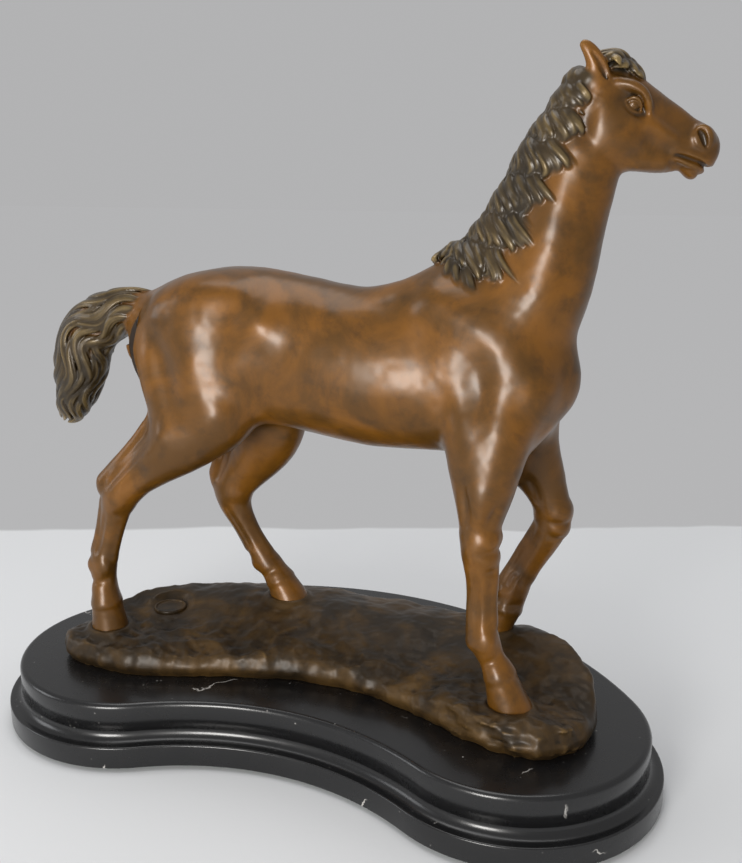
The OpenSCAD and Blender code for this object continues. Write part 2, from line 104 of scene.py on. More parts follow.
def hashed(*whole: Array, seed: int) -> Array:
    """Give each grid corner its own steady random number from 0 to 1.

    Args:
        whole: The corner's whole-number coordinates, as arrays that broadcast together.
        seed: Which set of random numbers to use.

    Returns:
        One number for each corner.
    """
    total = sum(w * k for w, k in zip(whole, (127.1, 311.7, 74.7)))
    value = np.sin(total + seed * 19.19) * 43758.5453
    return (value - np.floor(value)).astype(np.float32)


def soft_noise(axes: list[Array], scale: float, seed: int) -> Array:
    """Smooth random hills over a block of space, the same in every block that covers a place.

    Args:
        axes: The coordinates along each side of the block.
        scale: Distance between hills, in millimetres.
        seed: Which set of random numbers to use.

    Returns:
        An array from about -1 to 1, one value for each crossing of the axes.
    """
    corners, weights = [], []
    for axis in axes:
        place = axis / scale
        first = int(np.floor(place[0]))
        last = int(np.floor(place[-1])) + 1
        corner = np.arange(first, last + 1)
        part = eased(place - np.floor(place))
        cell = np.floor(place).astype(int) - first
        weight = np.zeros((len(axis), len(corner)), np.float32)
        weight[np.arange(len(axis)), cell] = 1 - part
        weight[np.arange(len(axis)), cell + 1] += part
        corners.append(corner)
        weights.append(weight)
    value = hashed(*np.meshgrid(*corners, indexing="ij"), seed=seed) * 2 - 1
    for weight in weights:
        value = np.tensordot(weight, value, (1, 0))
        value = np.moveaxis(value, 0, -1)
    return value


@dataclass(frozen=True)
class Placing:
    """A frame that forms are laid out in: its origin and its three axes as columns."""

    origin: Point = (0.0, 0.0, 0.0)
    axes: tuple[Point, Point, Point] = ((1, 0, 0), (0, 1, 0), (0, 0, 1))

    def points(self, local: Array) -> Array:
        """Carry local points into the horse's own frame."""
        return np.asarray(self.origin) + np.asarray(local, float) @ np.asarray(self.axes, float).T

    def hold(self, forms: list) -> list:
        """The same forms or strokes, laid out in this frame."""
        return [replace(form, placing=self) for form in forms]

    def turned(self, local: Array) -> Array:
        """Carry local directions into the horse's own frame."""
        return np.asarray(local, float) @ np.asarray(self.axes, float).T


@dataclass(frozen=True)
class Row:
    """Stations along a path. Each starts with x, y and z, and what follows depends on the use."""

    rows: Rows
    steps: int = 3
    placing: Placing = Placing()

    def flipped(self) -> "Row":
        """The same row on the other side."""
        return replace(self, rows=[(r[0], -r[1], *r[2:]) for r in self.rows])

    def stations(self) -> Array:
        """The smooth row of stations, carried into place."""
        rows = np.array(self.rows, float)
        rows[:, :3] = self.placing.points(rows[:, :3])
        return smooth_row(rows, self.steps) if len(rows) > 1 else np.vstack([rows, rows + 1e-3])


@dataclass(frozen=True)
class Sweep(Row):
    """A limb: oval sections along a path. A station is x, y, z, half depth, half width and egg,
    where egg narrows the side that depth points to."""

    steps: int = 4
    blend: float = 4.0
    facing: Point = (0.0, 1.0, 0.0)

    def stations(self) -> Array:
        """The smooth row of stations, carried into place, with egg filled in."""
        rows = [tuple(r) + (0.0,) * (6 - len(r)) for r in self.rows]
        return Row(rows, self.steps, self.placing).stations()

    def frames(self, rows: Array) -> tuple[Array, Array, Array]:
        """Directions at each station.

        Args:
            rows: The smooth stations.

        Returns:
            The way along the path, the way across it and the way of its depth.
        """
        along = np.gradient(rows[:, :3], axis=0)
        along /= np.linalg.norm(along, axis=1)[:, None]
        facing = self.placing.turned(self.facing)
        across = facing - along * (along @ facing)[:, None]
        across /= np.linalg.norm(across, axis=1)[:, None]
        return along, across, np.cross(along, across)

    def surface(self, where: float, angle: float, lift: float) -> tuple[Array, Array]:
        """A place on the limb's skin.

        Args:
            where: How far along, counted in stations.
            angle: Turn round the section in degrees, 0 where the depth points.
            lift: How far off the skin.

        Returns:
            The point, and the direction straight out of the skin there.
        """
        rows = self.stations()
        frames = self.frames(rows)
        spot = min(max(where * self.steps, 0.0), len(rows) - 1.001)
        i, part = int(spot), spot - int(spot)
        row = rows[i] * (1 - part) + rows[i + 1] * part
        _, across, deep = (f[i] * (1 - part) + f[i + 1] * part for f in frames)
        c, s = math.cos(math.radians(angle)), math.sin(math.radians(angle))
        wide = row[4] * (1 - row[5] * c)
        out = deep * c / row[3] + across * s / wide
        out /= np.linalg.norm(out)
        return row[:3] + deep * row[3] * c + across * wide * s + out * lift, out

    def reach(self) -> float:
        """The widest half size of any section."""
        return float(np.max(np.array([r[3:5] for r in self.rows])))

    def bounds(self) -> tuple[Array, Array]:
        """The corners of a box that holds the limb."""
        points = self.stations()[:, :3]
        return points.min(0) - self.reach(), points.max(0) + self.reach()

    def distance(self, axes: list[Array], margin: float) -> Array:
        """Distance from the limb's skin over a block of space, negative inside.

        Args:
            axes: The coordinates along each side of the block.
            margin: How far outside the skin the answer has to be good.

        Returns:
            The distances, capped at the margin.
        """
        rows = self.stations()
        _, across, deep = self.frames(rows)
        out = np.full([len(a) for a in axes], margin, np.float32)
        for i in range(len(rows) - 1):
            a, b = rows[i], rows[i + 1]
            grow = max(a[3], a[4], b[3], b[4]) * 1.3 + margin
            low = np.minimum(a[:3], b[:3]) - grow
            high = np.maximum(a[:3], b[:3]) + grow
            box = window_of(axes, low, high)
            if box is None:
                continue
            x, y, z = grid_of(axes, box)
            way = b[:3] - a[:3]
            length = float(np.linalg.norm(way)) + 1e-9
            way = way / length
            px, py, pz = x - a[0], y - a[1], z - a[2]
            s = px * way[0] + py * way[1] + pz * way[2]
            part = np.clip(s / length, 0, 1)
            side = across[i] + across[i + 1]
            side = side - way * (side @ way)
            side /= np.linalg.norm(side)
            up = np.cross(way, side)
            u = px * side[0] + py * side[1] + pz * side[2]
            q = px * up[0] + py * up[1] + pz * up[2]
            e = s - part * length
            d = a[3] + part * (b[3] - a[3])
            w = a[4] + part * (b[4] - a[4])
            m = np.minimum(d, w)
            qd = q / d
            if max(a[5], b[5]) > 0:
                egg = a[5] + part * (b[5] - a[5])
                w = w * (1 - egg * qd / np.sqrt(qd * qd + (u / w) ** 2 + 1e-6))
            uw, em = u / w, e / m
            k0 = np.sqrt(uw * uw + qd * qd + em * em)
            k1 = np.sqrt((uw / w) ** 2 + (qd / d) ** 2 + (em / m) ** 2) + 1e-6
            np.minimum(out[box], k0 * (k0 - 1) / k1, out=out[box])
        return out


@dataclass(frozen=True)
class Sinew(Row):
    """A round cord, tendon or lock. A station is x, y, z and radius."""

    blend: float = 2.0

    def bounds(self) -> tuple[Array, Array]:
        """The corners of a box that holds the cord."""
        rows = self.stations()
        reach = rows[:, 3].max()
        return rows[:, :3].min(0) - reach, rows[:, :3].max(0) + reach

    def distance(self, axes: list[Array], margin: float) -> Array:
        """Distance from the cord's skin over a block of space, as for Sweep."""
        out = np.full([len(a) for a in axes], margin, np.float32)
        for box, away, part, a, b in along_segments(self.stations(), axes, margin):
            np.minimum(out[box], away - (a[3] + part * (b[3] - a[3])), out=out[box])
        return out


@dataclass(frozen=True)
class Pebble:
    """An egg-shaped lump with three half sizes along its own axes, leaned by degrees about y."""

    centre: Point
    sizes: Point
    lean: float = 0.0
    blend: float = 3.0
    placing: Placing = Placing()

    def flipped(self) -> "Pebble":
        """The same lump on the other side."""
        return replace(self, centre=(self.centre[0], -self.centre[1], self.centre[2]))

    def bounds(self) -> tuple[Array, Array]:
        """The corners of a box that holds the lump."""
        centre = self.placing.points(self.centre)
        return centre - max(self.sizes), centre + max(self.sizes)

    def distance(self, axes: list[Array], margin: float) -> Array:
        """Distance from the lump's skin over a block of space, as for Sweep."""
        c, s = math.cos(math.radians(self.lean)), math.sin(math.radians(self.lean))
        own = self.placing.turned(np.array([[c, 0, -s], [0, 1, 0], [s, 0, c]]))
        centre = self.placing.points(self.centre)
        x, y, z = np.ix_(*[(a - k).astype(np.float32) for a, k in zip(axes, centre)])
        k0, k1 = 0.0, 0.0
        for way, size in zip(own, self.sizes):
            p = x * way[0] + y * way[1] + z * way[2]
            k0 = k0 + (p / size) ** 2
            k1 = k1 + (p / size**2) ** 2
        k0 = np.sqrt(k0)
        return np.minimum(k0 * (k0 - 1) / (np.sqrt(k1) + 1e-6), margin).astype(np.float32)


@dataclass(frozen=True)
class Stroke(Row):
    """A stroke of the modelling tool. A station is x, y, z, depth and half width of the mark."""

    fade: ClassVar[float] = 2.2

    def bounds(self) -> tuple[Array, Array]:
        """The corners of a box that holds the mark."""
        rows = self.stations()
        reach = rows[:, 4].max() * self.fade
        return rows[:, :3].min(0) - reach, rows[:, :3].max(0) + reach

    def mark(self, axes: list[Array]) -> Array:
        """How deep the mark is over a block of space.

        Args:
            axes: The coordinates along each side of the block.

        Returns:
            The depth at each crossing of the axes.
        """
        rows = self.stations()
        out = np.zeros([len(a) for a in axes], np.float32)
        for box, away, part, a, b in along_segments(rows, axes, rows[:, 4].max() * self.fade):
            width = a[4] + part * (b[4] - a[4])
            depth = a[3] + part * (b[3] - a[3])
            np.maximum(out[box], depth * np.exp(-((away / width) ** 2)), out=out[box])
        return out


def window_of(axes: list[Array], low: Array, high: Array) -> tuple | None:
    """The slices of a block that lie between two corners, or None if there are none."""
    box = []
    for axis, a, b in zip(axes, low, high):
        first, last = np.searchsorted(axis, (a, b))
        if first >= last:
            return None
        box.append(slice(int(first), int(last)))
    return tuple(box)


def grid_of(axes: list[Array], box: tuple) -> tuple:
    """The axes' coordinates inside some slices, shaped to broadcast together."""
    return np.ix_(*[a[s].astype(np.float32) for a, s in zip(axes, box)])


def along_segments(rows: Array, axes: list[Array], margin: float) -> Iterator[tuple]:
    """Walk along a path and measure a block of space from each of its segments.

    Args:
        rows: Stations, whose first three values are a point and the fourth a radius.
        axes: The coordinates along each side of the block.
        margin: How far from the path to measure, beyond the radius.

    Yields:
        The slices near the segment, the distance from it, the share along it and its two ends.
    """
    for a, b in zip(rows[:-1], rows[1:]):
        grow = abs(max(a[3], b[3])) + margin
        box = window_of(axes, np.minimum(a[:3], b[:3]) - grow, np.maximum(a[:3], b[:3]) + grow)
        if box is None:
            continue
        x, y, z = grid_of(axes, box)
        way = b[:3] - a[:3]
        px, py, pz = x - a[0], y - a[1], z - a[2]
        part = np.clip((px * way[0] + py * way[1] + pz * way[2]) / (way @ way + 1e-9), 0, 1)
        px, py, pz = px - part * way[0], py - part * way[1], pz - part * way[2]
        yield box, np.sqrt(px * px + py * py + pz * pz), part, a, b


def soft_overlap(a: Array, b: Array, soft: float) -> Array:
    """Where two solids overlap, with an edge as soft as given."""
    h = np.maximum(soft - np.abs(a - b), 0) / soft
    return np.maximum(a, b) + h * h * soft / 4


Form = Sweep | Sinew | Pebble


class Clay:
    """A block of modelling clay. Its field is the distance from the skin, negative inside."""

    AIR = 4.0

    def __init__(self, low: Point, high: Point, voxel: float) -> None:
        """Set out an empty block.

        Args:
            low: Its lowest corner, in millimetres.
            high: Its highest corner.
            voxel: Distance between grid points.
        """
        self.voxel = voxel
        self.axes = [np.arange(a, b + voxel, voxel) for a, b in zip(low, high)]
        self.low = np.asarray(low, float)
        self.field = np.full([len(a) for a in self.axes], self.AIR, np.float32)
        self.hair = np.zeros_like(self.field)

    def _laid(self, form: Form, blend: float) -> tuple:
        """The slices near a form, the clay there and the form's own distances."""
        margin = self.AIR + blend
        low, high = form.bounds()
        box = window_of(self.axes, low - margin, high + margin)
        if box is None:
            return None, None, None
        axes = [a[s] for a, s in zip(self.axes, box)]
        return box, self.field[box], form.distance(axes, margin)

    def add(self, *forms: Form) -> None:
        """Press forms on, each one running into the clay over its blend."""
        for form in forms:
            box, clay, shape = self._laid(form, form.blend)
            if box is not None:
                self.field[box] = -soft_overlap(-clay, -shape, form.blend + 1e-3)

    def add_hair(self, *forms: Form) -> None:
        """Press forms on, and remember where they show as hair."""
        before = self.field.copy()
        self.add(*forms)
        self.hair = np.maximum(self.hair, np.clip((before - self.field) / 0.5, 0, 1))

    def carve(self, *forms: Form) -> None:
        """Take forms away, each with an edge as soft as its blend."""
        for form in forms:
            box, clay, shape = self._laid(form, form.blend)
            if box is not None:
                self.field[box] = soft_overlap(clay, -shape, form.blend + 1e-3)

    def press(self, *strokes: Stroke, sign: float = 1.0) -> None:
        """Sink strokes into the skin, or raise them with a sign of -1."""
        for stroke in strokes:
            low, high = stroke.bounds()
            box = window_of(self.axes, low, high)
            if box is not None:
                axes = [a[s] for a, s in zip(self.axes, box)]
                self.field[box] += sign * stroke.mark(axes)

    def roughen(self, amount: float, scale: float, seed: int) -> None:
        """Leave soft hills of one size over the whole skin."""
        self.field += amount * soft_noise(self.axes, scale, seed)

    def sample(self, values: Array, points: Array) -> Array:
        """Read values on the grid at any points.

        Args:
            values: An array of the same shape as the field.
            points: The places to read, in millimetres.

        Returns:
            One value for each point.
        """
        place = (points - self.low) / self.voxel
        place = np.clip(place, 0, np.array(values.shape) - 1.001)
        i = place.astype(int)
        f = place - i
        total = 0.0
        for corner in np.ndindex(2, 2, 2):
            share = np.prod([f[:, k] if c else 1 - f[:, k] for k, c in enumerate(corner)], axis=0)
            x, y, z = (i + np.array(corner)).T
            total = total + share * values[x, y, z]
        return total

    def slope(self, points: Array) -> Array:
        """The direction straight out of the skin at some points, not yet of unit length."""
        reach = self.voxel * 0.9
        parts = []
        for k in range(3):
            step = np.zeros(3)
            step[k] = reach
            parts.append(self.sample(self.field, points + step)
                         - self.sample(self.field, points - step))
        return np.stack(parts, 1) / (2 * reach)

    def soften(self, reach: float) -> None:
        """Smooth the whole skin with a soft tool of one size."""
        soft = self.averaged(np.clip(self.field, -2 * self.AIR, self.AIR), reach)
        self.field = soft - 0.01 * reach**2

    def averaged(self, near: Array, reach: float) -> Array:
        """Average values on the grid over a small neighbourhood.

        Args:
            near: An array of the same shape as the field.
            reach: Size of the neighbourhood, in millimetres.

        Returns:
            The averaged array.
        """
        half = max(1, round(reach / self.voxel / 2))
        for _ in range(2):
            for axis in range(3):
                padded = np.pad(near, [(half + 1, half) if k == axis else (0, 0)
                                       for k in range(3)], mode="edge")
                total = np.cumsum(padded, axis=axis, dtype=np.float64)
                size = near.shape[axis]
                top = np.take(total, range(2 * half + 1, 2 * half + 1 + size), axis=axis)
                bottom = np.take(total, range(size), axis=axis)
                near = ((top - bottom) / (2 * half + 1)).astype(np.float32)
        return near

    def relief(self, points: Array, reach: float) -> Array:
        """How proud or sunk the skin is against its surroundings.

        Args:
            points: Places on the skin.
            reach: How far round each place to look, in millimetres.

        Returns:
            About 1 on a ridge, -1 in a crease and 0 where the skin is flat.
        """
        near = self.averaged(np.clip(self.field, -reach, reach), reach)
        return self.sample(near, points) / (0.35 * reach)

    def skin(self, coarsen: float) -> tuple[Array, list[Array]]:
        """Draw the skin of the clay.

        Args:
            coarsen: How freely flat stretches may take larger faces, 0 for never.

        Returns:
            The points, and the faces as arrays of point numbers, one array per face size.
        """
        grid = vdb.FloatGrid(self.AIR)
        band = 3 * self.voxel
        grid.copyFromArray(np.clip(self.field, -band, band))
        points, triangles, quads = grid.convertToPolygons(isovalue=0.0, adaptivity=coarsen)
        quads = np.asarray(quads, int)
        if coarsen > 0:
            corner = np.asarray(points, float)[quads]
            across = np.cross(corner[:, 2] - corner[:, 0], corner[:, 3] - corner[:, 1])
            quads = quads[np.linalg.norm(across, axis=1) > 1e-9]
        points = np.asarray(points, float) * self.voxel + self.low
        for _ in range(2):
            slope = self.slope(points)
            steep = np.maximum((slope**2).sum(1), 0.05)
            move = slope * (self.sample(self.field, points) / steep)[:, None]
            points = points - np.clip(move, -self.voxel / 2, self.voxel / 2)
        faces = [np.asarray(f, int) for f in (quads, triangles) if len(f)]
        return points, faces


# ---------------------------------------------------------------- meshes


@dataclass(frozen=True)
class Cut:
    """A flat cut through a mesh: a point on it, the side thrown away, and what it reaches."""

    point: Point
    away: Point
    low: Point = (-1e3, -1e3, -1e3)
    high: Point = (1e3, 1e3, 1e3)

    def touches(self, centre: Vector) -> bool:
        """Whether a face with this centre, in metres, is within the cut's reach."""
        return all(a * MM <= c <= b * MM for a, c, b in zip(self.low, centre, self.high))


def mesh_of(name: str, points: Array, faces: list[Array]) -> Mesh:
    """Make a mesh from arrays.

    Args:
        name: The mesh's name.
        points: Its points, in millimetres.
        faces: Arrays of point numbers, one array per face size.

    Returns:
        The mesh, in metres and smooth shaded.
    """
    mesh = bpy.data.meshes.new(name)
    mesh.vertices.add(len(points))
    mesh.vertices.foreach_set("co", (points * MM).astype(np.float32).ravel())
    corners = np.concatenate([f.ravel() for f in faces])
    sizes = np.concatenate([np.full(len(f), f.shape[1]) for f in faces])
    mesh.loops.add(len(corners))
    mesh.loops.foreach_set("vertex_index", corners.astype(np.int32))
    mesh.polygons.add(len(sizes))
    starts = np.concatenate([[0], np.cumsum(sizes)[:-1]])
    mesh.polygons.foreach_set("loop_start", starts.astype(np.int32))
    mesh.polygons.foreach_set("use_smooth", np.ones(len(sizes), bool))
    mesh.update(calc_edges=True)
    mesh.validate()
    return mesh


def ring_mesh(name: str, rings: list[list[Point]], sharp: bool) -> Mesh:
    """Make a closed mesh from rings of points, one above another.

    Args:
        name: The mesh's name.
        rings: The rings in millimetres, all with the same number of points.
        sharp: Whether the two flat ends have a sharp edge.

    Returns:
        The mesh.
    """
    bm = bmesh.new()
    rows = [[bm.verts.new([k * MM for k in point]) for point in ring] for ring in rings]
    for lower, upper in zip(rows[:-1], rows[1:]):
        for i in range(len(lower)):
            j = (i + 1) % len(lower)
            bm.faces.new((lower[i], lower[j], upper[j], upper[i])).smooth = True
    ends = [bm.faces.new(rows[-1]), bm.faces.new(list(reversed(rows[0])))]
    if sharp:
        for edge in [*ends[0].edges, *ends[1].edges]:
            edge.smooth = False
        bmesh.ops.triangulate(bm, faces=ends)
    mesh = bpy.data.meshes.new(name)
    bm.to_mesh(mesh)
    bm.free()
    return mesh


def cut_mesh(mesh: Mesh, cuts: list[Cut]) -> None:
    """Cut a closed mesh flat, close each cut, and keep only its largest part.

    Args:
        mesh: The mesh, changed in place.
        cuts: The cuts, in millimetres.
    """
    bm = bmesh.new()
    bm.from_mesh(mesh)
    for cut in cuts:
        faces = [f for f in bm.faces if cut.touches(f.calc_center_median())]
        edges = {e for f in faces for e in f.edges}
        verts = {v for f in faces for v in f.verts}
        bmesh.ops.bisect_plane(bm, geom=[*faces, *edges, *verts], dist=1e-7,
                               plane_co=Vector(cut.point) * MM, plane_no=Vector(cut.away),
                               clear_outer=True)
    open_edges = [e for e in bm.edges if e.is_boundary]
    filled = bmesh.ops.holes_fill(bm, edges=open_edges, sides=0)["faces"]
    for face in filled:
        face.smooth = False
        for edge in face.edges:
            edge.smooth = False
    bmesh.ops.triangulate(bm, faces=filled)
    keep_largest(bm)
    loose = [v for v in bm.verts if not v.link_faces]
    bmesh.ops.delete(bm, geom=loose, context="VERTS")
    bm.to_mesh(mesh)
    bm.free()


def keep_largest(bm: bmesh.types.BMesh) -> None:
    """Throw away every separate part of a mesh but its largest."""
    unseen = set(bm.faces)
    parts = []
    while unseen:
        stack = [unseen.pop()]
        part = list(stack)
        while stack:
            for edge in stack.pop().edges:
                for face in edge.link_faces:
                    if face in unseen:
                        unseen.discard(face)
                        stack.append(face)
                        part.append(face)
        parts.append(part)
    parts.sort(key=len)
    for part in parts[:-1]:
        bmesh.ops.delete(bm, geom=part, context="FACES")


def write_number(mesh: Mesh, name: str, values: Array) -> None:
    """Keep one number per point on a mesh, under a name that a material can read."""
    layer = mesh.attributes.new(name, "FLOAT", "POINT")
    layer.data.foreach_set("value", values.astype(np.float32))


def show(name: str, mesh: Mesh, material: Material, slot: str,
         *nodes: str) -> Object:
    """Put a finished mesh on the object.

    Args:
        name: The piece's name.
        mesh: Its mesh.
        material: Its finish.
        slot: The material slot of the record that the finish comes from; not used.
        nodes: The CAD nodes that it stands for.

    Returns:
        The piece, riding on the body.
    """
    piece = bpy.data.objects.new(name, mesh)
    bpy.context.collection.objects.link(piece)
    mesh.materials.append(material)
    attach(piece, BODY)
    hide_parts(*nodes)
    faces = sum(len(p.vertices) - 2 for p in mesh.polygons)
    LOG.info("%s: %d triangles", name, faces)
    return piece


@dataclass
class Casting:
    """One bronze casting: its name, the node it stands for and where it is cut."""

    name: str
    node: str
    cuts: list[Cut]
    slot: str = "horse_bronze"
    coarsen: float = 0.0
    shift: Point = (0.0, 0.0, 0.0)

    def cast(self, clay: Clay, material: Material) -> Object:
        """Skin the clay, cut it and show it.

        Args:
            clay: The modelled block.
            material: The bronze.

        Returns:
            The piece.
        """
        mesh = mesh_of(self.name, *clay.skin(self.coarsen))
        cut_mesh(mesh, self.cuts)
        flat = np.empty(len(mesh.vertices) * 3, np.float32)
        mesh.vertices.foreach_get("co", flat)
        points = flat.reshape(-1, 3).astype(float) / MM
        # The bronze reads these ridge and hollow measures to paint shade into creases and highlights onto
        # ridges.
        write_number(mesh, "fine_relief", clay.relief(points, 1.6))
        write_number(mesh, "broad_relief", clay.relief(points, 6.0))
        write_number(mesh, "hair", clay.sample(clay.hair, points))
        normals = clay.slope(points)
        normals /= np.linalg.norm(normals, axis=1)[:, None] + 1e-9
        mesh.transform(Matrix.Translation(Vector(self.shift) * MM))
        mesh.normals_split_custom_set_from_vertices(normals.tolist())
        return show(self.name, mesh, material, self.slot, self.node)


# ---------------------------------------------------------------- the horse


def strokes(*rows: Rows) -> list[Stroke]:
    """One stroke of the tool for each row of stations."""
    return [Stroke(row) for row in rows]


def both(*forms: Form | Stroke) -> list[Form | Stroke]:
    """Each form on the right side of the horse and again on its left."""
    return [made for form in forms for made in (form, form.flipped())]


@dataclass
class Trunk:
    """Barrel, shoulders, breast and haunches, all about the horse's middle plane."""

    barrel: Sweep = Sweep([
        (-85, 0, 192, 7, 9, 0), (-79, 0, 188, 19, 17, 0.1), (-68, 0, 185, 29, 22.5, 0.12),
        (-52, 0, 184, 34, 25, 0.12), (-34, 0, 185, 35, 25.5, 0.15), (-16, 0, 184, 34, 25, 0.1),
        (4, 0, 181, 33.5, 26, 0.08), (24, 0, 179, 34, 27, 0.1), (44, 0, 181, 36, 25.5, 0.18),
        (62, 0, 184, 38, 22, 0.3), (80, 0, 182, 34, 19.5, 0.3), (92, 0, 178, 27, 17, 0.1),
        (101, 0, 174, 18, 12, 0), (105, 0, 172, 8, 6, 0)], blend=0.5, steps=4)

    def shoulder(self) -> list[Form]:
        """Muscles of one shoulder, upper arm and breast."""
        return [
            Sinew([(58, -10, 208, 9), (72, -11.5, 201, 10), (86, -12.5, 190, 10.5),
                   (94, -12.5, 178, 9.5)], blend=9),
            Sinew([(95, -12.5, 179, 8), (91, -14.5, 167, 9), (84, -17, 158, 9.5)], blend=8),
            Sinew([(64, -12, 186, 9.5), (68, -14, 172, 10), (73, -16.6, 160, 9.5),
                   (77, -19, 150, 8)], blend=9),
            Sinew([(88, -19.5, 160, 7.6), (86.5, -22, 148, 8), (83.5, -24, 135, 7.2)], blend=8),
            Pebble((98.6, -7.4, 173), (7.6, 7.8, 11.5), lean=-8, blend=4),
            Sinew([(99, -7.6, 165, 7), (94, -9, 157, 7), (86, -12, 153, 7.5)], blend=4),
        ]

    def haunch(self) -> list[Form]:
        """Muscles of one croup, thigh and buttock."""
        return [
            Sinew([(-30, -11, 205, 10), (-50, -11.5, 203.5, 12.5), (-66, -11, 198, 12)], blend=8),
            Pebble((-20, -14, 195), (10, 10, 10), blend=9),
            Sinew([(-54, -12, 188, 14), (-50, -13, 172, 14.5), (-45, -15.5, 160, 12.5),
                   (-41, -16.5, 153, 10.5)], blend=7),
            Sinew([(-74, -11, 190, 9.5), (-74.5, -13.5, 177, 10.5), (-69, -16.5, 162, 10.5),
                   (-63, -18.5, 149, 9.5)], blend=3.5),
        ]

    def creases(self) -> list[Stroke]:
        """Tool strokes that part the muscles of one side."""
        return strokes(
            [(100, -15.5, 209, 0.2, 3), (100.5, -15, 197, 1.2, 3), (97.5, -16, 189, 1.6, 3),
             (93.8, -21, 180, 1.7, 3.2), (92, -24, 167, 1.7, 3.2), (88.5, -27, 154, 0.4, 3)],
            [(80, -21, 198, 0.2, 4), (78, -22, 186, 1.3, 4), (79, -24.5, 173.5, 1.8, 3.6),
             (81.5, -28, 160, 1.4, 3), (82.5, -31, 150, 0.3, 3)],
            [(62, -22, 186, 0.2, 5), (64.5, -23.5, 174, 1.5, 4), (65.5, -22.5, 165, 1.9, 3),
             (66, -19, 156, 1.2, 3)],
            [(-72, -21, 194, 0.1, 3), (-69.5, -24, 187, 1.6, 3), (-67.5, -26, 180, 2.4, 2.8),
             (-64.5, -27.5, 172, 2.6, 2.8), (-61, -28.5, 162, 1.8, 3), (-58, -29, 152, 0.2, 3)],
            [(-10, -24, 192, 0.1, 8), (-12, -26, 180, 0.9, 9), (-20, -25, 166, 1.1, 8),
             (-26, -23, 156, 0.4, 7)],
            [(68, -15.5, 156, 0.8, 2.5), (56, -15, 150, 1, 2.6), (42, -14, 147, 0.3, 3)],
        )

    def swells(self) -> list[Stroke]:
        """Places where one side is raised: bones near the skin and tight muscles."""
        return strokes(
            [(101, -14.5, 205, 0.3, 2.6), (99.5, -15.5, 196, 1.1, 2.6), (95.5, -18, 187, 1.3, 2.8),
             (89.5, -22.5, 181, 1.3, 3), (87.5, -24.5, 170, 1, 3)],
            [(102, -15.5, 182, 1, 6), (101, -16, 172, 1, 6)],
            [(-24, -22, 202.5, 0.4, 5), (-17, -23, 198.5, 0.8, 5), (-16, -24.5, 192, 0.3, 5)],
            [(-60, -19, 210.5, 0.6, 4), (-30, -18.5, 208.5, 0.8, 3.5), (-2, -17.5, 206, 0.9, 3),
             (20, -18, 203, 0.8, 3), (36, -18, 202.5, 0.3, 4)],
            [(-49, -27, 183, 0.9, 5), (-50, -27.5, 172, 0.5, 5)],
            [(-28, -26, 182, 0.9, 5), (-30, -26, 172, 0.6, 5)],
            [(-39, -27, 158, 1.3, 5), (-42, -28, 152, 0.8, 5)],
            [(-37, -26, 160, 0.6, 4), (-24, -22, 154.5, 1, 3.5), (-8, -15, 149.5, 0.6, 4)],
            [(44, -25.5, 175, 0.5, 7)],
        )

    def model(self, clay: Clay) -> None:
        """Build the trunk in a block of clay."""
        clay.add(self.barrel)
        clay.add(*both(*self.shoulder(), *self.haunch()))

    def finish(self, clay: Clay) -> None:
        """Work over the trunk's skin once every limb is on."""
        clay.press(*both(*self.creases()))
        clay.press(*both(*self.swells()), sign=-1)
        clay.press(
            Stroke([(107.5, 0, 190, 0.2, 2.5), (108, 0, 178, 1.9, 2.6), (107, 0, 166, 2.2, 2.6),
                    (101, 0, 155, 2, 3), (90, 0, 149, 1, 3)]),
            Stroke([(-84, 0, 206, 0.2, 3), (-64, 0, 215, 1, 3), (-40, 0, 220, 0.9, 3),
                    (-14, 0, 218.5, 0.7, 3), (16, 0, 213.5, 0.5, 3), (40, 0, 216, 0.2, 3)]),
            Stroke([(-88, 0, 186, 2, 2.6), (-87, 0, 174, 2.2, 3), (-80, 0, 160, 2.2, 4)]))


@dataclass
class Leg:
    """One leg from the trunk to the ground: its row of sections, joints, tendons and hoof."""

    name: str
    side: Side
    row: Rows
    joints: list[Form]
    marks: list[Stroke]
    lifts: list[Stroke]
    coronet: tuple[float, ...]
    sole: tuple[float, ...]
    ground: float
    weld: tuple[float, float, float, float]
    span: tuple[float, float]
    blend: float = 6.0

    def hoof(self) -> Sweep:
        """The hoof's wall, from the coronet down past the ground."""
        top, foot = np.array(self.coronet), np.array(self.sole)
        past = foot + (foot - top) * 0.25
        neck = top + (top - foot) * 0.12
        neck[3:] = top[3:] * 0.75
        return Sweep([tuple(neck), tuple(top), tuple((top + foot) / 2), tuple(foot), tuple(past)],
                     blend=1.6, steps=3)

    def ring(self, share: float, grow: float, depth: float, width: float) -> Stroke:
        """A mark right round the hoof.

        Args:
            share: How far down the hoof, 0 at the coronet and 1 at the ground.
            grow: How far outside the hoof's own section.
            depth: Depth of the mark.
            width: Half its width.

        Returns:
            The stroke.
        """
        top, foot = np.array(self.coronet), np.array(self.sole)
        row = top + (foot - top) * share
        way = (foot - top)[:3] / np.linalg.norm((foot - top)[:3])
        across = np.array((0, 1, 0)) - way * way[1]
        deep = np.cross(way, across)
        turns = np.radians(np.arange(0, 361, 20))
        return Stroke([(*(row[:3] + deep * (row[3] + grow) * math.cos(t)
                          + across * (row[4] + grow) * math.sin(t)), depth, width)
                       for t in turns], steps=1)

    def model(self, clay: Clay) -> None:
        """Build the leg in a block of clay."""
        clay.add(Sweep(self.row, blend=self.blend, steps=4))

    def finish(self, clay: Clay) -> None:
        """Add the joints, the tendons and the hoof, and work over them."""
        clay.add(*self.joints)
        clay.add(self.hoof())
        clay.press(*self.marks)
        clay.press(*self.lifts, self.ring(0.0, 0.2, 0.35, 1.2), sign=-1)
        clay.press(self.ring(0.2, 0.3, 0.3, 0.9))


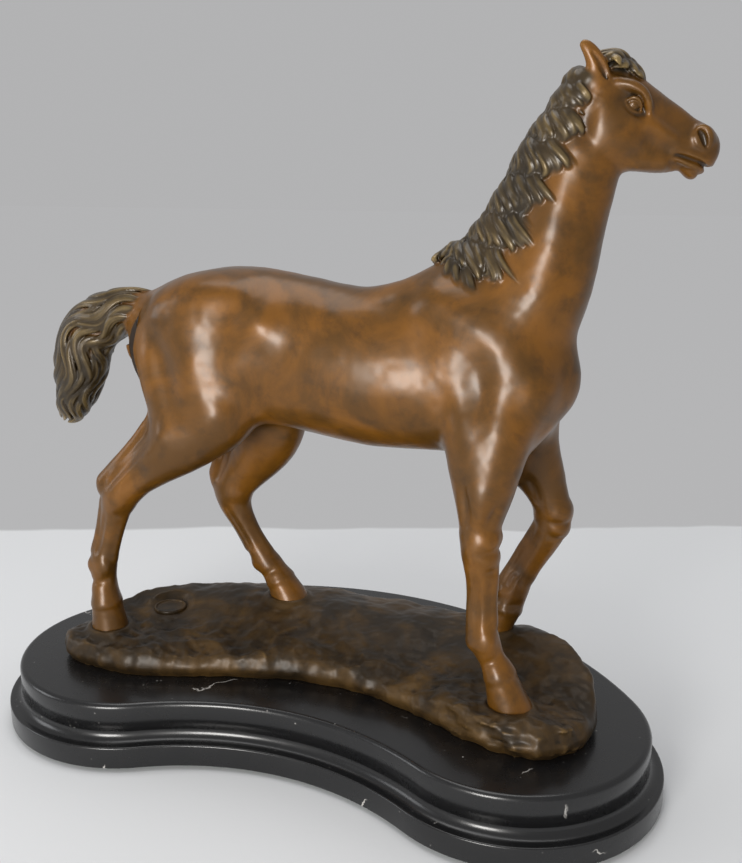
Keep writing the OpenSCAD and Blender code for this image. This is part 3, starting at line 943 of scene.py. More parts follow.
def right_foreleg() -> Leg:
    """The straight foreleg that carries the horse."""
    row = [(86, -15, 182, 14, 6), (82, -18.5, 162, 15, 9), (80.5, -22, 146, 13, 9.2),
           (80.8, -24.5, 130, 9.6, 7.8), (81, -25.5, 119, 7.6, 7), (81.5, -26, 111, 7.6, 7),
           (82.3, -26.5, 102, 6.3, 5.9), (83.2, -27, 92, 5, 4.5), (83.6, -27.4, 81, 5, 4.6),
           (84.4, -27.7, 73, 6.4, 5.8), (87.5, -27.8, 65, 5.3, 5.2), (91, -28, 59.5, 6, 6.2)]
    joints = [
        Pebble((84.2, -26, 116.5), (5.4, 6.9, 5.2), blend=2.4),
        Pebble((84.6, -26, 108.5), (4.6, 6.2, 3.8), blend=2.2),
        Pebble((77.4, -25.8, 117), (3.6, 3.4, 4.6), blend=2.5),
        Pebble((81, -31.2, 113), (3.6, 2.2, 5.6), blend=2.5),
        Sinew([(77.6, -26.4, 110, 2.3), (78.6, -27, 97, 2.2), (78.8, -27.3, 84, 2.3),
               (79.6, -27.5, 76, 3)], blend=1.4),
        Pebble((80.6, -27.6, 71.5), (3.4, 4.6, 3.6), blend=2.2),
        Sinew([(87.8, -27, 104, 1.6), (88.2, -27.2, 92, 1.4), (88.4, -27.5, 80, 1.6)], blend=2),
        Pebble((86.4, -31.4, 73), (3.0, 2.0, 4.0), blend=2.2),
    ]
    marks = strokes(
        [(81.4, -32.8, 104, 0.2, 1.4), (81.6, -32, 96, 1.1, 1.3), (81.6, -32, 85, 1.1, 1.3),
         (82.2, -33, 77, 0.3, 1.3)],
        [(81.4, -20.6, 104, 0.2, 1.4), (81.6, -22, 94, 1, 1.3), (81.8, -22.4, 82, 0.9, 1.3)],
        [(90, -29, 112.6, 0.9, 1.1), (87, -32.6, 112.2, 0.7, 1.2), (82, -34, 111.6, 0.2, 1.4)],
        [(90, -25, 112.6, 0.9, 1.1), (87.5, -21, 112.4, 0.5, 1.2)],
        [(89, -29, 103.4, 0.7, 1.3), (86, -32.4, 103.2, 0.4, 1.4)],
        [(76.4, -29, 145, 0.2, 2.6), (76.6, -31.4, 134, 1.5, 2.2), (77.2, -31.6, 124, 1, 2)],
        [(89.5, -28, 140, 0.2, 2), (87.4, -30.8, 130, 0.9, 1.8), (85.5, -32.2, 122, 0.3, 2)],
        [(92.4, -31.6, 67.4, 0.6, 1.4), (87.4, -33.4, 64.2, 0.6, 1.4), (83.4, -31, 62, 0.4, 1.6)],
    )
    lifts = strokes(
        [(88.8, -29.5, 117.5, 0.5, 1.8)], [(88.9, -23, 117.3, 0.5, 1.8)],
        [(83.6, -31.6, 138, 0.5, 3), (83, -32.4, 127, 0.6, 2.4)],
    )
    return Leg("right_foreleg", Side.RIGHT, row, joints, marks, lifts,
               (91.8, -28, 58, 6.4, 6.8), (96.2, -28, 44.5, 9, 8.6), 44.5,
               (82.5, -23, 140, 0), (60, 116))


def left_foreleg() -> Leg:
    """The foreleg that is lifted, with its toe on the ground."""
    row = [(86, 15, 184, 13, 6), (88, 19, 163, 14, 9), (90, 21.5, 147, 12, 9.2), (95, 23.5, 132, 10, 8.2),
           (99.4, 24.5, 121, 8.2, 7.2), (102.2, 25, 111.5, 7.2, 7), (99, 25, 101, 6.4, 6),
           (93.2, 25, 90, 5.2, 4.6), (88.2, 25, 80, 5.4, 4.8), (85.4, 25, 73, 6.4, 5.6),
           (83.6, 25, 67.5, 6, 5.6), (82.4, 25, 64, 5.8, 5.8)]
    joints = [
        Pebble((104.4, 25, 114.5), (5.2, 6.8, 5.6), lean=20, blend=2.4),
        Pebble((104.2, 25, 107), (4.6, 6.2, 4.0), lean=35, blend=2.2),
        Pebble((97.2, 24.8, 113), (3.6, 3.4, 4.6), lean=25, blend=2.5),
        Sinew([(94.8, 25, 107, 2.3), (88.6, 25, 96, 2.2), (82.6, 25, 84, 2.3),
               (80, 25, 77.5, 3)], blend=1.4),
        Pebble((80.8, 25, 73), (3.4, 4.6, 3.6), blend=2.2),
        Sinew([(103.4, 25, 101, 1.6), (97.8, 25, 91, 1.4), (92, 25, 80, 1.6)], blend=2),
    ]
    marks = strokes(
        [(96.6, 19.2, 104, 0.2, 1.4), (91.4, 20.2, 94, 1.1, 1.3), (86.2, 20.2, 84, 1.1, 1.3)],
        [(96.6, 30.8, 104, 0.2, 1.4), (91.4, 29.8, 94, 1.1, 1.3), (86.2, 29.8, 84, 1.1, 1.3)],
        [(108.4, 22, 110, 0.9, 1.1), (105, 18.4, 110.6, 0.7, 1.2), (100, 17.6, 111.4, 0.2, 1.4)],
        [(106.4, 21, 102.6, 0.7, 1.3), (102.4, 18.6, 104.2, 0.4, 1.4)],
        [(89.6, 17.6, 140, 0.2, 2.4), (93, 16.6, 130, 1.2, 2.2), (96, 17.4, 121, 0.8, 2)],
        [(90.6, 20.4, 68.6, 0.5, 1.3), (85.4, 19.2, 67.4, 0.6, 1.3), (80.4, 20, 67, 0.4, 1.4)],
    )
    lifts = strokes([(107.8, 22, 115.5, 0.5, 1.8)], [(107.8, 28, 115.5, 0.5, 1.8)])
    return Leg("left_foreleg", Side.LEFT, row, joints, marks, lifts,
               (82.2, 25, 64.5, 6.8, 7), (78.6, 25, 53.5, 5.6, 6.8), 53.5,
               (92, 22, 141, -16), (66, 122))


def right_hind_leg() -> Leg:
    """The hind leg that pushes off behind."""
    row = [(-46, -12, 180, 24, 8), (-50, -15, 162, 24, 11), (-58, -18.5, 147, 17.5, 11),
           (-69, -20.5, 136, 12.3, 9.6), (-83, -21.3, 125.5, 9.4, 7.6), (-95, -21.5, 115, 9.2, 6.8),
           (-99, -21.5, 104, 6.6, 5.9), (-103.4, -22, 90, 5.2, 4.8), (-107.2, -22.3, 78, 6.8, 5.8),
           (-107.8, -22.6, 69, 5.6, 5.4), (-106.9, -23, 61, 6.2, 6.4), (-106.7, -23, 57, 6.8, 7.2)]
    joints = [
        Sinew([(-74, -18, 155, 3.4), (-86, -19.6, 140, 2.9), (-98, -21, 127, 2.7),
               (-104.4, -21.5, 119.5, 3.3)], blend=3.0),
        Pebble((-104, -21.5, 117), (3.4, 4.2, 5.4), lean=20, blend=2.4),
        Pebble((-95.4, -21.5, 110.5), (5.6, 6.8, 6.2), lean=25, blend=2.8),
        Pebble((-94, -26.8, 113), (3.8, 2.0, 4.6), blend=2.4),
        Sinew([(-105, -21.6, 109, 2.5), (-108, -22, 96, 2.2), (-111.6, -22.3, 83, 2.5)], blend=1.4),
        Pebble((-111.8, -22.4, 76), (3.4, 4.4, 3.8), blend=2.2),
        Sinew([(-94.6, -22, 101, 1.6), (-98.4, -22.2, 90, 1.4), (-101.4, -22.4, 80, 1.7)], blend=2),
        Pebble((-104.6, -26.6, 77), (3.0, 1.8, 3.8), blend=2.2),
    ]
    marks = strokes(
        [(-72, -28.4, 147, 0.2, 3), (-82, -27.6, 136, 1.9, 2.8), (-92, -27, 125.5, 1.9, 2.4),
         (-98, -27, 118, 0.6, 2.2)],
        [(-76, -13, 146, 0.2, 3), (-84, -14, 135, 1.6, 2.6), (-93, -15.6, 125, 1.6, 2.4)],
        [(-70, -30, 134, 0.1, 3), (-80, -29, 126, 0.9, 2.6), (-88, -28, 119, 0.4, 2.4)],
        [(-100.8, -27.6, 105, 0.2, 1.4), (-104.4, -26.8, 95, 1.1, 1.2), (-107.6, -27, 84, 0.9, 1.2)],
        [(-100.8, -15.6, 105, 0.2, 1.4), (-104.4, -17, 95, 1.1, 1.2), (-107.6, -17.4, 84, 0.9, 1.2)],
        [(-89.6, -26.6, 104.4, 0.6, 1.5), (-95, -28.2, 103.6, 0.5, 1.4)],
        [(-102, -27.4, 70, 0.5, 1.4), (-107.6, -28, 68.6, 0.6, 1.4), (-113, -25, 68, 0.5, 1.4)],
    )
    lifts = [Stroke([(-66, -30.6, 146, 0.7, 4), (-74, -29.6, 133, 0.6, 3.4)])]
    return Leg("right_hind_leg", Side.RIGHT, row, joints, marks, lifts,
               (-106.8, -23, 57, 6.7, 7), (-105.8, -23, 44.5, 8.7, 8.6), 44.5,
               (-70, -21, 135, 50), (-126, -34))


def left_hind_leg() -> Leg:
    """The hind leg that has just been brought forward."""
    row = [(-44, 12, 180, 25, 8), (-39, 15, 160, 25, 11), (-38, 18.5, 143, 19.5, 11),
           (-43, 20.8, 130, 14.6, 9.6), (-52, 21.5, 118.5, 11.4, 7.8), (-59, 21.5, 109.5, 10.4, 6.8),
           (-58.4, 21.8, 99.5, 7.8, 6.1), (-52.6, 22, 88, 5.6, 4.8), (-46.4, 22.4, 77, 5.4, 5),
           (-41, 22.7, 69.5, 6.4, 5.8), (-36.4, 23, 64, 5.8, 6.2), (-34.4, 23, 61, 6.4, 7)]
    joints = [
        Sinew([(-60, 19, 142, 3.2), (-64.6, 20.6, 128, 2.7), (-68.2, 21.4, 116, 3.1)], blend=3),
        Pebble((-67.6, 21.5, 112), (3.4, 4.2, 5.2), lean=-10, blend=2.4),
        Pebble((-56.6, 21.5, 107), (5.8, 6.8, 6.2), lean=-10, blend=2.8),
        Sinew([(-65, 21.8, 103, 2.5), (-58.6, 22, 90, 2.2), (-51.2, 22.4, 77, 2.4)], blend=1.4),
        Pebble((-45.6, 22.6, 69.4), (3.4, 4.4, 3.8), blend=2.2),
        Sinew([(-52.4, 22, 98, 1.6), (-47, 22.2, 87, 1.4), (-40.4, 22.6, 76, 1.7)], blend=2),
    ]
    marks = strokes(
        [(-57, 13, 135, 0.2, 2.8), (-60.4, 14.6, 124, 1.6, 2.4), (-63.4, 16, 114, 0.8, 2.2)],
        [(-57, 29, 135, 0.2, 2.8), (-60.4, 28, 124, 1.6, 2.4), (-63.4, 27, 114, 0.8, 2.2)],
        [(-60, 16, 101, 0.2, 1.4), (-54.8, 17, 90, 1.1, 1.2), (-48.8, 17.4, 79, 0.9, 1.2)],
        [(-60, 27.8, 101, 0.2, 1.4), (-54.8, 27, 90, 1.1, 1.2), (-48.8, 27.4, 79, 0.9, 1.2)],
        [(-36, 17.4, 67.6, 0.5, 1.4), (-40.4, 17, 64.6, 0.6, 1.4), (-43.6, 19, 63, 0.5, 1.4)],
    )
    lifts = [Stroke([(-38, 9.6, 146, 0.6, 5)])]
    return Leg("left_hind_leg", Side.LEFT, row, joints, marks, lifts,
               (-34.4, 23, 61.5, 6.6, 6.8), (-30.4, 23, 53.5, 8.8, 8.6), 53.5,
               (-45, 21, 129, 30), (-80, -14))


@dataclass
class Neck:
    """The neck, and the places on its skin that the mane grows from."""

    form: Sweep = Sweep([
        (58, 0, 182, 30, 18, 0.3), (74, 0, 199, 31, 18, 0.4), (87, 0, 213, 27, 16.5, 0.4),
        (95, 0, 228, 22.6, 14, 0.35), (100.5, 0, 243, 19.2, 12.4, 0.25), (105.2, 0, 257, 17, 11.4, 0.15),
        (109.8, 0, 270, 15, 10.6, 0.05), (112.5, 0, 282, 11, 9.4, 0)], blend=8.0, steps=5)

    def model(self, clay: Clay) -> None:
        """Build the neck in a block of clay."""
        clay.add(self.form)

    def finish(self, clay: Clay) -> None:
        """Work over the neck's skin."""
        clay.press(*both(
            Stroke([(114.5, -8, 268, 0.2, 3), (111.5, -10.5, 250, 0.9, 3.4), (108.5, -11, 230, 1, 3.6),
                    (106, -11.5, 212, 0.8, 3.6), (104, -10, 200, 0.2, 4)])))
        clay.press(*both(
            Stroke([(106.5, -12, 256, 0.3, 6), (103.5, -13.5, 242, 0.8, 7), (100.5, -15, 228, 0.8, 8),
                    (97, -16.5, 214, 0.5, 8)])), sign=-1)


@dataclass
class Head:
    """The head in its own frame: x along it from the poll, y to its left, z up from its axis."""

    poll: Point = (114.0, 0.0, 296.0)
    turn: float = 18.0
    slope: float = 32.0

    def placing(self, slope: float | None = None) -> Placing:
        """The head's frame, or the same frame at another slope."""
        a, b = math.radians(self.turn), math.radians(self.slope if slope is None else slope)
        level = Matrix.Rotation(a, 3, "Z") @ Matrix.Rotation(b, 3, "Y")
        return Placing(self.poll, tuple(tuple(row) for row in level))

    def skull(self) -> list[Form]:
        """The main forms of the head."""
        return [
            Sweep([(-1, 0, -9, 5.5, 6.6), (4.5, 0, -7.2, 11.4, 9.8), (13, 0, -7.3, 15.3, 10.6),
                   (22, 0, -7.4, 15.4, 9.8), (30, 0, -6.2, 14, 8.4), (36, 0, -4.6, 12.4, 7.2),
                   (42, 0, -2.4, 9.8, 6.4), (46.5, 0, -0.6, 8.2, 6.6), (49, 0, -0.4, 6.8, 6.2),
                   (50.4, 0, -0.8, 4.8, 5)], blend=5, steps=4),
            Pebble((50.8, 0, -2.8), (4.2, 5.2, 4.4), blend=2.5),
            Pebble((48.8, 0, -8.6), (4.8, 4.3, 3.2), lean=30, blend=1.8),
        ]

    def features(self) -> list[Form]:
        """Cheek, brow, nostril and lip of one side."""
        return [
            Pebble((16.5, -6.4, -12.6), (10.5, 5.8, 10.0), blend=3),
            Sinew([(22, -4.6, -20.2, 2.6), (30, -4.2, -17.6, 2.4), (38, -3.6, -13, 2.4)],
                  blend=3),
            Sinew([(7.5, -7.6, 1.2, 2.2), (12, -8.8, 2.6, 2.4), (16.6, -9.6, 2.6, 2.3),
                   (20.6, -9.4, 0.6, 2), (23.4, -8.6, -2.4, 1.3)], blend=1.3),
            Sinew([(22, -8.2, -5, 1.7), (29, -7.6, -4.2, 1.7), (36, -6.2, -3.8, 1.2)],
                  blend=3),
            Pebble((45.6, -4.6, 2.6), (4.4, 2.9, 4.2), lean=-20, blend=2.2),
            Sinew([(42.4, -5, -6.2, 1.2), (46.4, -5.4, -5, 1.5), (50.4, -4.6, -4, 1.6),
                   (53.2, -2.2, -3.4, 1.6), (54, 0, -3.2, 1.6)], blend=1.4),
            Sinew([(42, -4.6, -8.9, 1.1), (45.4, -4.9, -8.3, 1.4), (49.2, -4.2, -7.4, 1.5),
                   (52, -2, -7, 1.5), (52.8, 0, -6.8, 1.5)], blend=1.2),
        ]

    def eye(self) -> tuple[list[Stroke], list[Form], list[Stroke]]:
        """One eye: the socket's strokes, the ball and lids, and the fine strokes after."""
        socket = strokes(
            [(12.2, -10.6, -2.2, 1.3, 2.4), (16.6, -11.2, -2, 2.5, 2.7), (21, -10.4, -3.2, 2, 2.3)],
            [(9, -10.6, -3.4, 0.5, 2.6), (12, -10.8, -5.6, 0.5, 2.4)],
        )
        ball = [
            Pebble((16.6, -8.5, -2.2), (2.3, 2.1, 2.1), blend=0.3),
            Sinew([(13.4, -9.2, -2.6, 0.45), (14.8, -10.1, -0.6, 0.7), (16.8, -10.4, 0.1, 0.75),
                   (18.8, -9.9, -0.9, 0.65), (20.2, -9.1, -2.8, 0.4)], blend=0.6),
            Sinew([(13.4, -9.2, -2.8, 0.4), (15, -9.9, -4, 0.5), (17.2, -10, -4.4, 0.55),
                   (19.2, -9.6, -3.9, 0.5), (20.4, -9, -2.9, 0.35)], blend=0.6),
        ]
        fine = strokes(
            [(13.8, -9.8, -5, 0.2, 0.7), (16.8, -10.2, -6, 0.45, 0.7), (20, -9.6, -5.2, 0.3, 0.7)],
            [(13, -10.4, 0.6, 0.3, 0.6), (16.4, -11, 1.4, 0.6, 0.6), (19.6, -10.2, 0, 0.4, 0.6)],
        )
        return socket, ball, fine

    def nostril(self) -> tuple[list[Form], list[Form]]:
        """One nostril: what is hollowed out, and the rim laid round it."""
        hollow = [Sinew([(43.2, -6.8, 3.2, 0.9), (44.8, -7.2, 2.6, 1.3), (46.8, -7.2, 1.2, 1.2),
                         (48, -6.8, 0.2, 0.7)], blend=0.5)]
        rim = [Sinew([(42.2, -5.9, 2, 0.5), (42, -5.9, 4.2, 0.8), (44, -6.4, 5.6, 0.95),
                      (46.8, -6.5, 4.8, 1), (48.8, -6, 2.6, 0.95), (49.4, -5.6, 0.4, 0.7)],
                     blend=0.7),
               Sinew([(42.8, -6.2, 0.6, 0.5), (45, -6.6, -0.8, 0.7), (48, -6.2, -1.2, 0.6)],
                     blend=0.9)]
        return hollow, rim

    def mouth(self) -> list[Stroke]:
        """The parting of the lips on one side, and the lines round it and the cheek."""
        return strokes(
            [(2.6, -9.4, -3, 0.2, 3.6), (2.6, -9.4, -9, 0.9, 4), (5.4, -8.4, -17, 1.2, 4),
             (11, -6, -23, 1.2, 4)],
            [(40.4, -5.8, -8.6, 0.3, 0.8), (42.6, -6, -7.6, 1.2, 0.7), (46, -6.2, -6.8, 1.7, 0.75),
             (49.8, -5.6, -5.8, 1.8, 0.8), (53, -2.8, -5.2, 1.8, 0.9), (54.6, 0, -5, 1.8, 0.9)],
            [(40, -5.6, -11.4, 0.2, 1.6), (44, -5, -11.6, 0.8, 1.4), (48, -4.2, -11.4, 0.5, 1.4)],
            [(27, -8, 1.6, 0.1, 3.4), (32.5, -7, 1.6, 0.5, 3.4), (39, -6, 1.8, 0.4, 2.8)],
            [(25, -8.4, -9, 0.2, 3), (31, -7.6, -9.6, 0.8, 3), (37, -6.6, -8.6, 0.6, 2.4)],
            [(50.4, -4.8, 1.8, 0.1, 1.2), (51.6, -3.8, 0.2, 0.5, 1)],
        )

    def ear(self, side: Side) -> tuple[list[Form], list[Form]]:
        """One pricked ear: the leaf itself, and the cup scooped out of its front."""
        at = self.placing(slope=0.0)
        y = 6.3 * side.value
        x = 3.0 if side is Side.LEFT else 0.0
        leaf = [Sweep([(x + 0.5, y, -5, 4.2, 3.4), (x - 0.4, y * 1.04, 0.5, 4.4, 2.9),
                       (x - 1.6, y * 1.12, 4.4, 3.6, 2.3), (x - 3.4, y * 1.16, 7.6, 2.9, 1.8),
                       (x - 5.2, y * 1.14, 9.8, 2.3, 1.4), (x - 6.4, y * 1.1, 10.8, 1.6, 1.1)],
                      blend=1.4, steps=4)]
        out = side.value
        cup = [Sinew([(x + 2.6, y + out * 2.0, -2.0, 0.6), (x + 1.4, y * 1.1 + out * 2.6, 1.4, 1.7),
                      (x - 0.6, y * 1.16 + out * 2.4, 4.6, 1.4),
                      (x - 3.2, y * 1.18 + out * 1.8, 7.6, 0.6)], blend=0.5)]
        return at.hold(leaf), at.hold(cup)

    def model(self, clay: Clay) -> None:
        """Build the head in a block of clay."""
        at = self.placing()
        socket, ball, fine = self.eye()
        hollow, rim = self.nostril()
        clay.add(*at.hold(self.skull() + both(*self.features())))
        clay.press(*at.hold(both(*socket)))
        clay.add(*at.hold(both(*ball)))
        clay.press(*at.hold(both(*fine)))
        clay.carve(*at.hold(both(*hollow)))
        clay.add(*at.hold(both(*rim)))
        clay.press(*at.hold(both(*self.mouth())))
        for side in Side:
            leaf, cup = self.ear(side)
            clay.add(*leaf)
            clay.carve(*cup)


@dataclass
class Hair:
    """Locks of hair, each a bundle of fine strands that swells and then runs to one point."""

    seed: int
    strands: int = 4
    spread: float = 1.3
    thick: float = 0.85

    def lock(self, path: Array, out: Array, across: Array) -> list[Sinew]:
        """Make one lock.

        Args:
            path: The points down its middle.
            out: The way out of the skin at each point.
            across: The way across the lock at each point.

        Returns:
            Its strands.
        """
        rng = np.random.default_rng(self.seed)
        self.seed += 1
        t = np.linspace(0, 1, len(path))
        fan = np.clip(0.35 + 1.6 * t, 0, 1) * np.clip(1.25 * (1 - t), 0, 1) ** 0.6
        taper = np.clip(0.3 + 3 * t, 0, 1) * np.clip((1 - t) * 2.6, 0, 1) ** 0.7
        made = []
        for k in range(self.strands):
            place = k - (self.strands - 1) / 2
            crown = 1 - (2 * place / self.strands) ** 2
            weave = 0.2 * np.sin(2 * np.pi * (t * 1.1 + rng.random()))
            rise = (1.5 * crown - 0.6 + rng.uniform(-0.2, 0.3)) * self.thick
            points = (path + across * ((place + weave) * self.spread * fan)[:, None]
                      + out * (rise * fan)[:, None])
            radius = self.thick * rng.uniform(0.8, 1.2) * taper + 0.1
            made.append(Sinew([(*p, r) for p, r in zip(points, radius)], blend=0.25))
        return made


def along_path(points: Array) -> Array:
    """Unit directions along a row of points."""
    along = np.gradient(points, axis=0)
    return along / np.linalg.norm(along, axis=1)[:, None]


@dataclass
class Mane:
    """Wavy locks that fall from the crest over the right side of the neck, and the forelock."""

    neck: Neck
    head: Head
    locks: int = 25
    first: float = 1.5
    last: float = 9.0
    seed: int = 7
    poll: tuple[tuple[float, ...], ...] = ((114.5, 0, 289.5, 9, 9, 0),
                                           (117, 0, 294.5, 7.4, 8.4, 0))

    def __post_init__(self) -> None:
        """Carry the neck's row on to the poll, for the hair to grow from."""
        self.crest = replace(self.neck.form, rows=[*self.neck.form.rows, *self.poll])

    def bed(self) -> list[Form]:
        """The thick mass of hair under the locks."""
        bed = []
        for angle, lift, radius in ((0.0, 1.4, 3.2), (-32.0, 0.8, 3.0), (-56.0, -0.4, 2.6)):
            rows = []
            for where in np.linspace(self.first + 0.2, self.last - 0.5, 11):
                point, _ = self.crest.surface(where, angle, lift)
                rows.append((*point, radius))
            bed.append(Sinew(rows, blend=2.5))
        return bed

    def locks_on_neck(self) -> list[Sinew]:
        """The locks on the neck, the deeper ones first."""
        rng = np.random.default_rng(self.seed)
        hair = Hair(seed=self.seed * 100, strands=4, spread=1.0, thick=0.72)
        made = []
        layers = [(-44, -88, 2.0), (-30, -78, 3.0), (-17, -66, 3.8), (-5, -52, 4.4), (8, -32, 4.6),
                  (24, -8, 4.0), (40, 18, 2.0)]
        for start, end, lift in layers:
            for i in range(self.locks):
                u = (i + 0.5 + rng.uniform(-0.35, 0.35)) / self.locks
                where = self.first + 0.35 + (self.last - self.first - 0.35) * u
                drop = rng.uniform(1.6, 2.4) * (0.5 + 0.5 * u)
                phase = rng.uniform(-0.12, 0.12)
                t = np.linspace(0, 1, 13)
                reach = end + rng.uniform(-9, 9) + 8 * (1 - u)
                wheres = np.maximum(where - drop * t, self.first - 0.3)
                curl = 2 * np.pi * (wheres * 0.95 + 0.01 * start + phase)
                angles = start + (reach - start) * t**1.1 + 13 * np.sin(curl) * t**0.4
                swell = 1.25 - 0.75 * np.clip(wheres / 9, 0, 1) ** 4
                lifts = lift * swell * (1 - t**2.4) + 0.4 + 0.9 * np.cos(curl) * t**0.5
                pairs = [self.crest.surface(w, a, h) for w, a, h in zip(wheres, angles, lifts)]
                path = np.array([p for p, _ in pairs])
                out = np.array([o for _, o in pairs])
                made += hair.lock(path, out, np.cross(along_path(path), out))
        return made

    def forelock(self) -> list[Sinew]:
        """Short curls between the ears and down the forehead."""
        at = self.head.placing()
        hair = Hair(seed=self.seed * 900, strands=5, spread=0.9, thick=0.6)
        made = []
        curls = [(-7, 0.5, 5, 10, 4.8), (-6, -2.6, 5, 7, 3.4), (-5, -5, 3, 4, 2), (-5, -6.6, 0, 3, 0.6),
                 (-2, 2.4, 5, 14, 4.4), (1, 4.2, 5, 11, 3), (2, -1.5, 8, 14.5, 3.8), (5, 1.2, 8, 13.5, 3.2),
                 (0, -5.2, 2.5, 8, 1.4), (-1, -3.6, 5, 11, 3), (6, -3, 6, 14, 1.8), (3, 3.4, 7, 13, 2.6)]
        for i, (a, y, n, end, rise) in enumerate(curls):
            t = np.linspace(0, 1, 8)
            top = 6.6 + rise
            bow = np.sin(np.pi * np.clip(t * 0.9 + 0.1, 0, 1))
            points = np.stack([a + (end - a) * t**0.9 + 2.2,
                               y + 1.5 * np.sin(2 * np.pi * (t * 1.1 + 0.31 * i)) * (0.4 + 0.6 * t),
                               n + (top - n) * bow + (7.4 - n) * t**3 * 0.9], 1)
            path = at.points(points)
            up = at.turned(np.array([0.0, 0.15 * y, 1.0]))
            out = np.tile(up / np.linalg.norm(up), (len(path), 1))
            made += hair.lock(path, out, np.cross(along_path(path), out))
        return made

    def model(self, clay: Clay) -> None:
        """Lay the mane and the forelock on the clay."""
        clay.add_hair(*self.bed(), *self.locks_on_neck())
        clay.add_hair(Pebble((4, 0, 6.4), (7, 5, 4.2), blend=2.5, placing=self.head.placing()))
        clay.add_hair(*self.forelock())


@dataclass
class Tail:
    """The dock, and the long wavy locks that stream over it and down to a point."""

    form: Sweep = Sweep([
        (-70, 0, 202, 8, 8), (-82, 0, 199, 7.6, 6.6), (-98, 0, 197.8, 8.2, 6.4), (-112, 0, 193.5, 9.4, 7.2),
        (-123.5, 0, 184, 11.2, 7.8), (-129.5, 0, 168, 10.6, 7.8), (-133, 0, 155, 7.4, 6.2),
        (-137, 0, 146, 4.8, 4.2), (-140.5, 0, 139.5, 2.2, 2.2)],
        blend=5, steps=4)
    locks: int = 64
    seed: int = 31

    def model(self, clay: Clay) -> None:
        """Build the core of the tail."""
        clay.add(self.form)

    def hair(self) -> list[Sinew]:
        """The locks of the tail."""
        rng = np.random.default_rng(self.seed)
        hair = Hair(seed=self.seed * 50, strands=4, spread=1.25, thick=0.82)
        made = []
        for i in range(self.locks):
            angle = 360 * ((i * 0.382) % 1.0)
            start = 0.7 + 5.2 * (i / self.locks) ** 1.1
            end = min(start + rng.uniform(2.4, 3.8), rng.uniform(7.5, 7.95))
            t = np.linspace(0, 1, 14)
            wheres = start + (end - start) * t
            phase = 0.18 * math.sin(math.radians(angle)) + rng.uniform(-0.11, 0.11)
            curl = 2 * np.pi * (wheres / 2.1 + phase)
            angles = angle + rng.uniform(18, 34) * np.sin(curl) * (0.4 + 0.6 * t)
            lifts = -0.5 + (1.9 + rng.uniform(0, 0.9)) * np.sin(np.pi * np.clip(t, 0.04, 0.97)) ** 0.7
            pairs = [self.form.surface(w, a, h) for w, a, h in zip(wheres, angles, lifts)]
            path = np.array([p for p, _ in pairs])
            out = np.array([o for _, o in pairs])
            made += hair.lock(path, out, np.cross(along_path(path), out))
        return made

    def finish(self, clay: Clay) -> None:
        """Lay the locks on the core."""
        clay.add_hair(*self.hair())


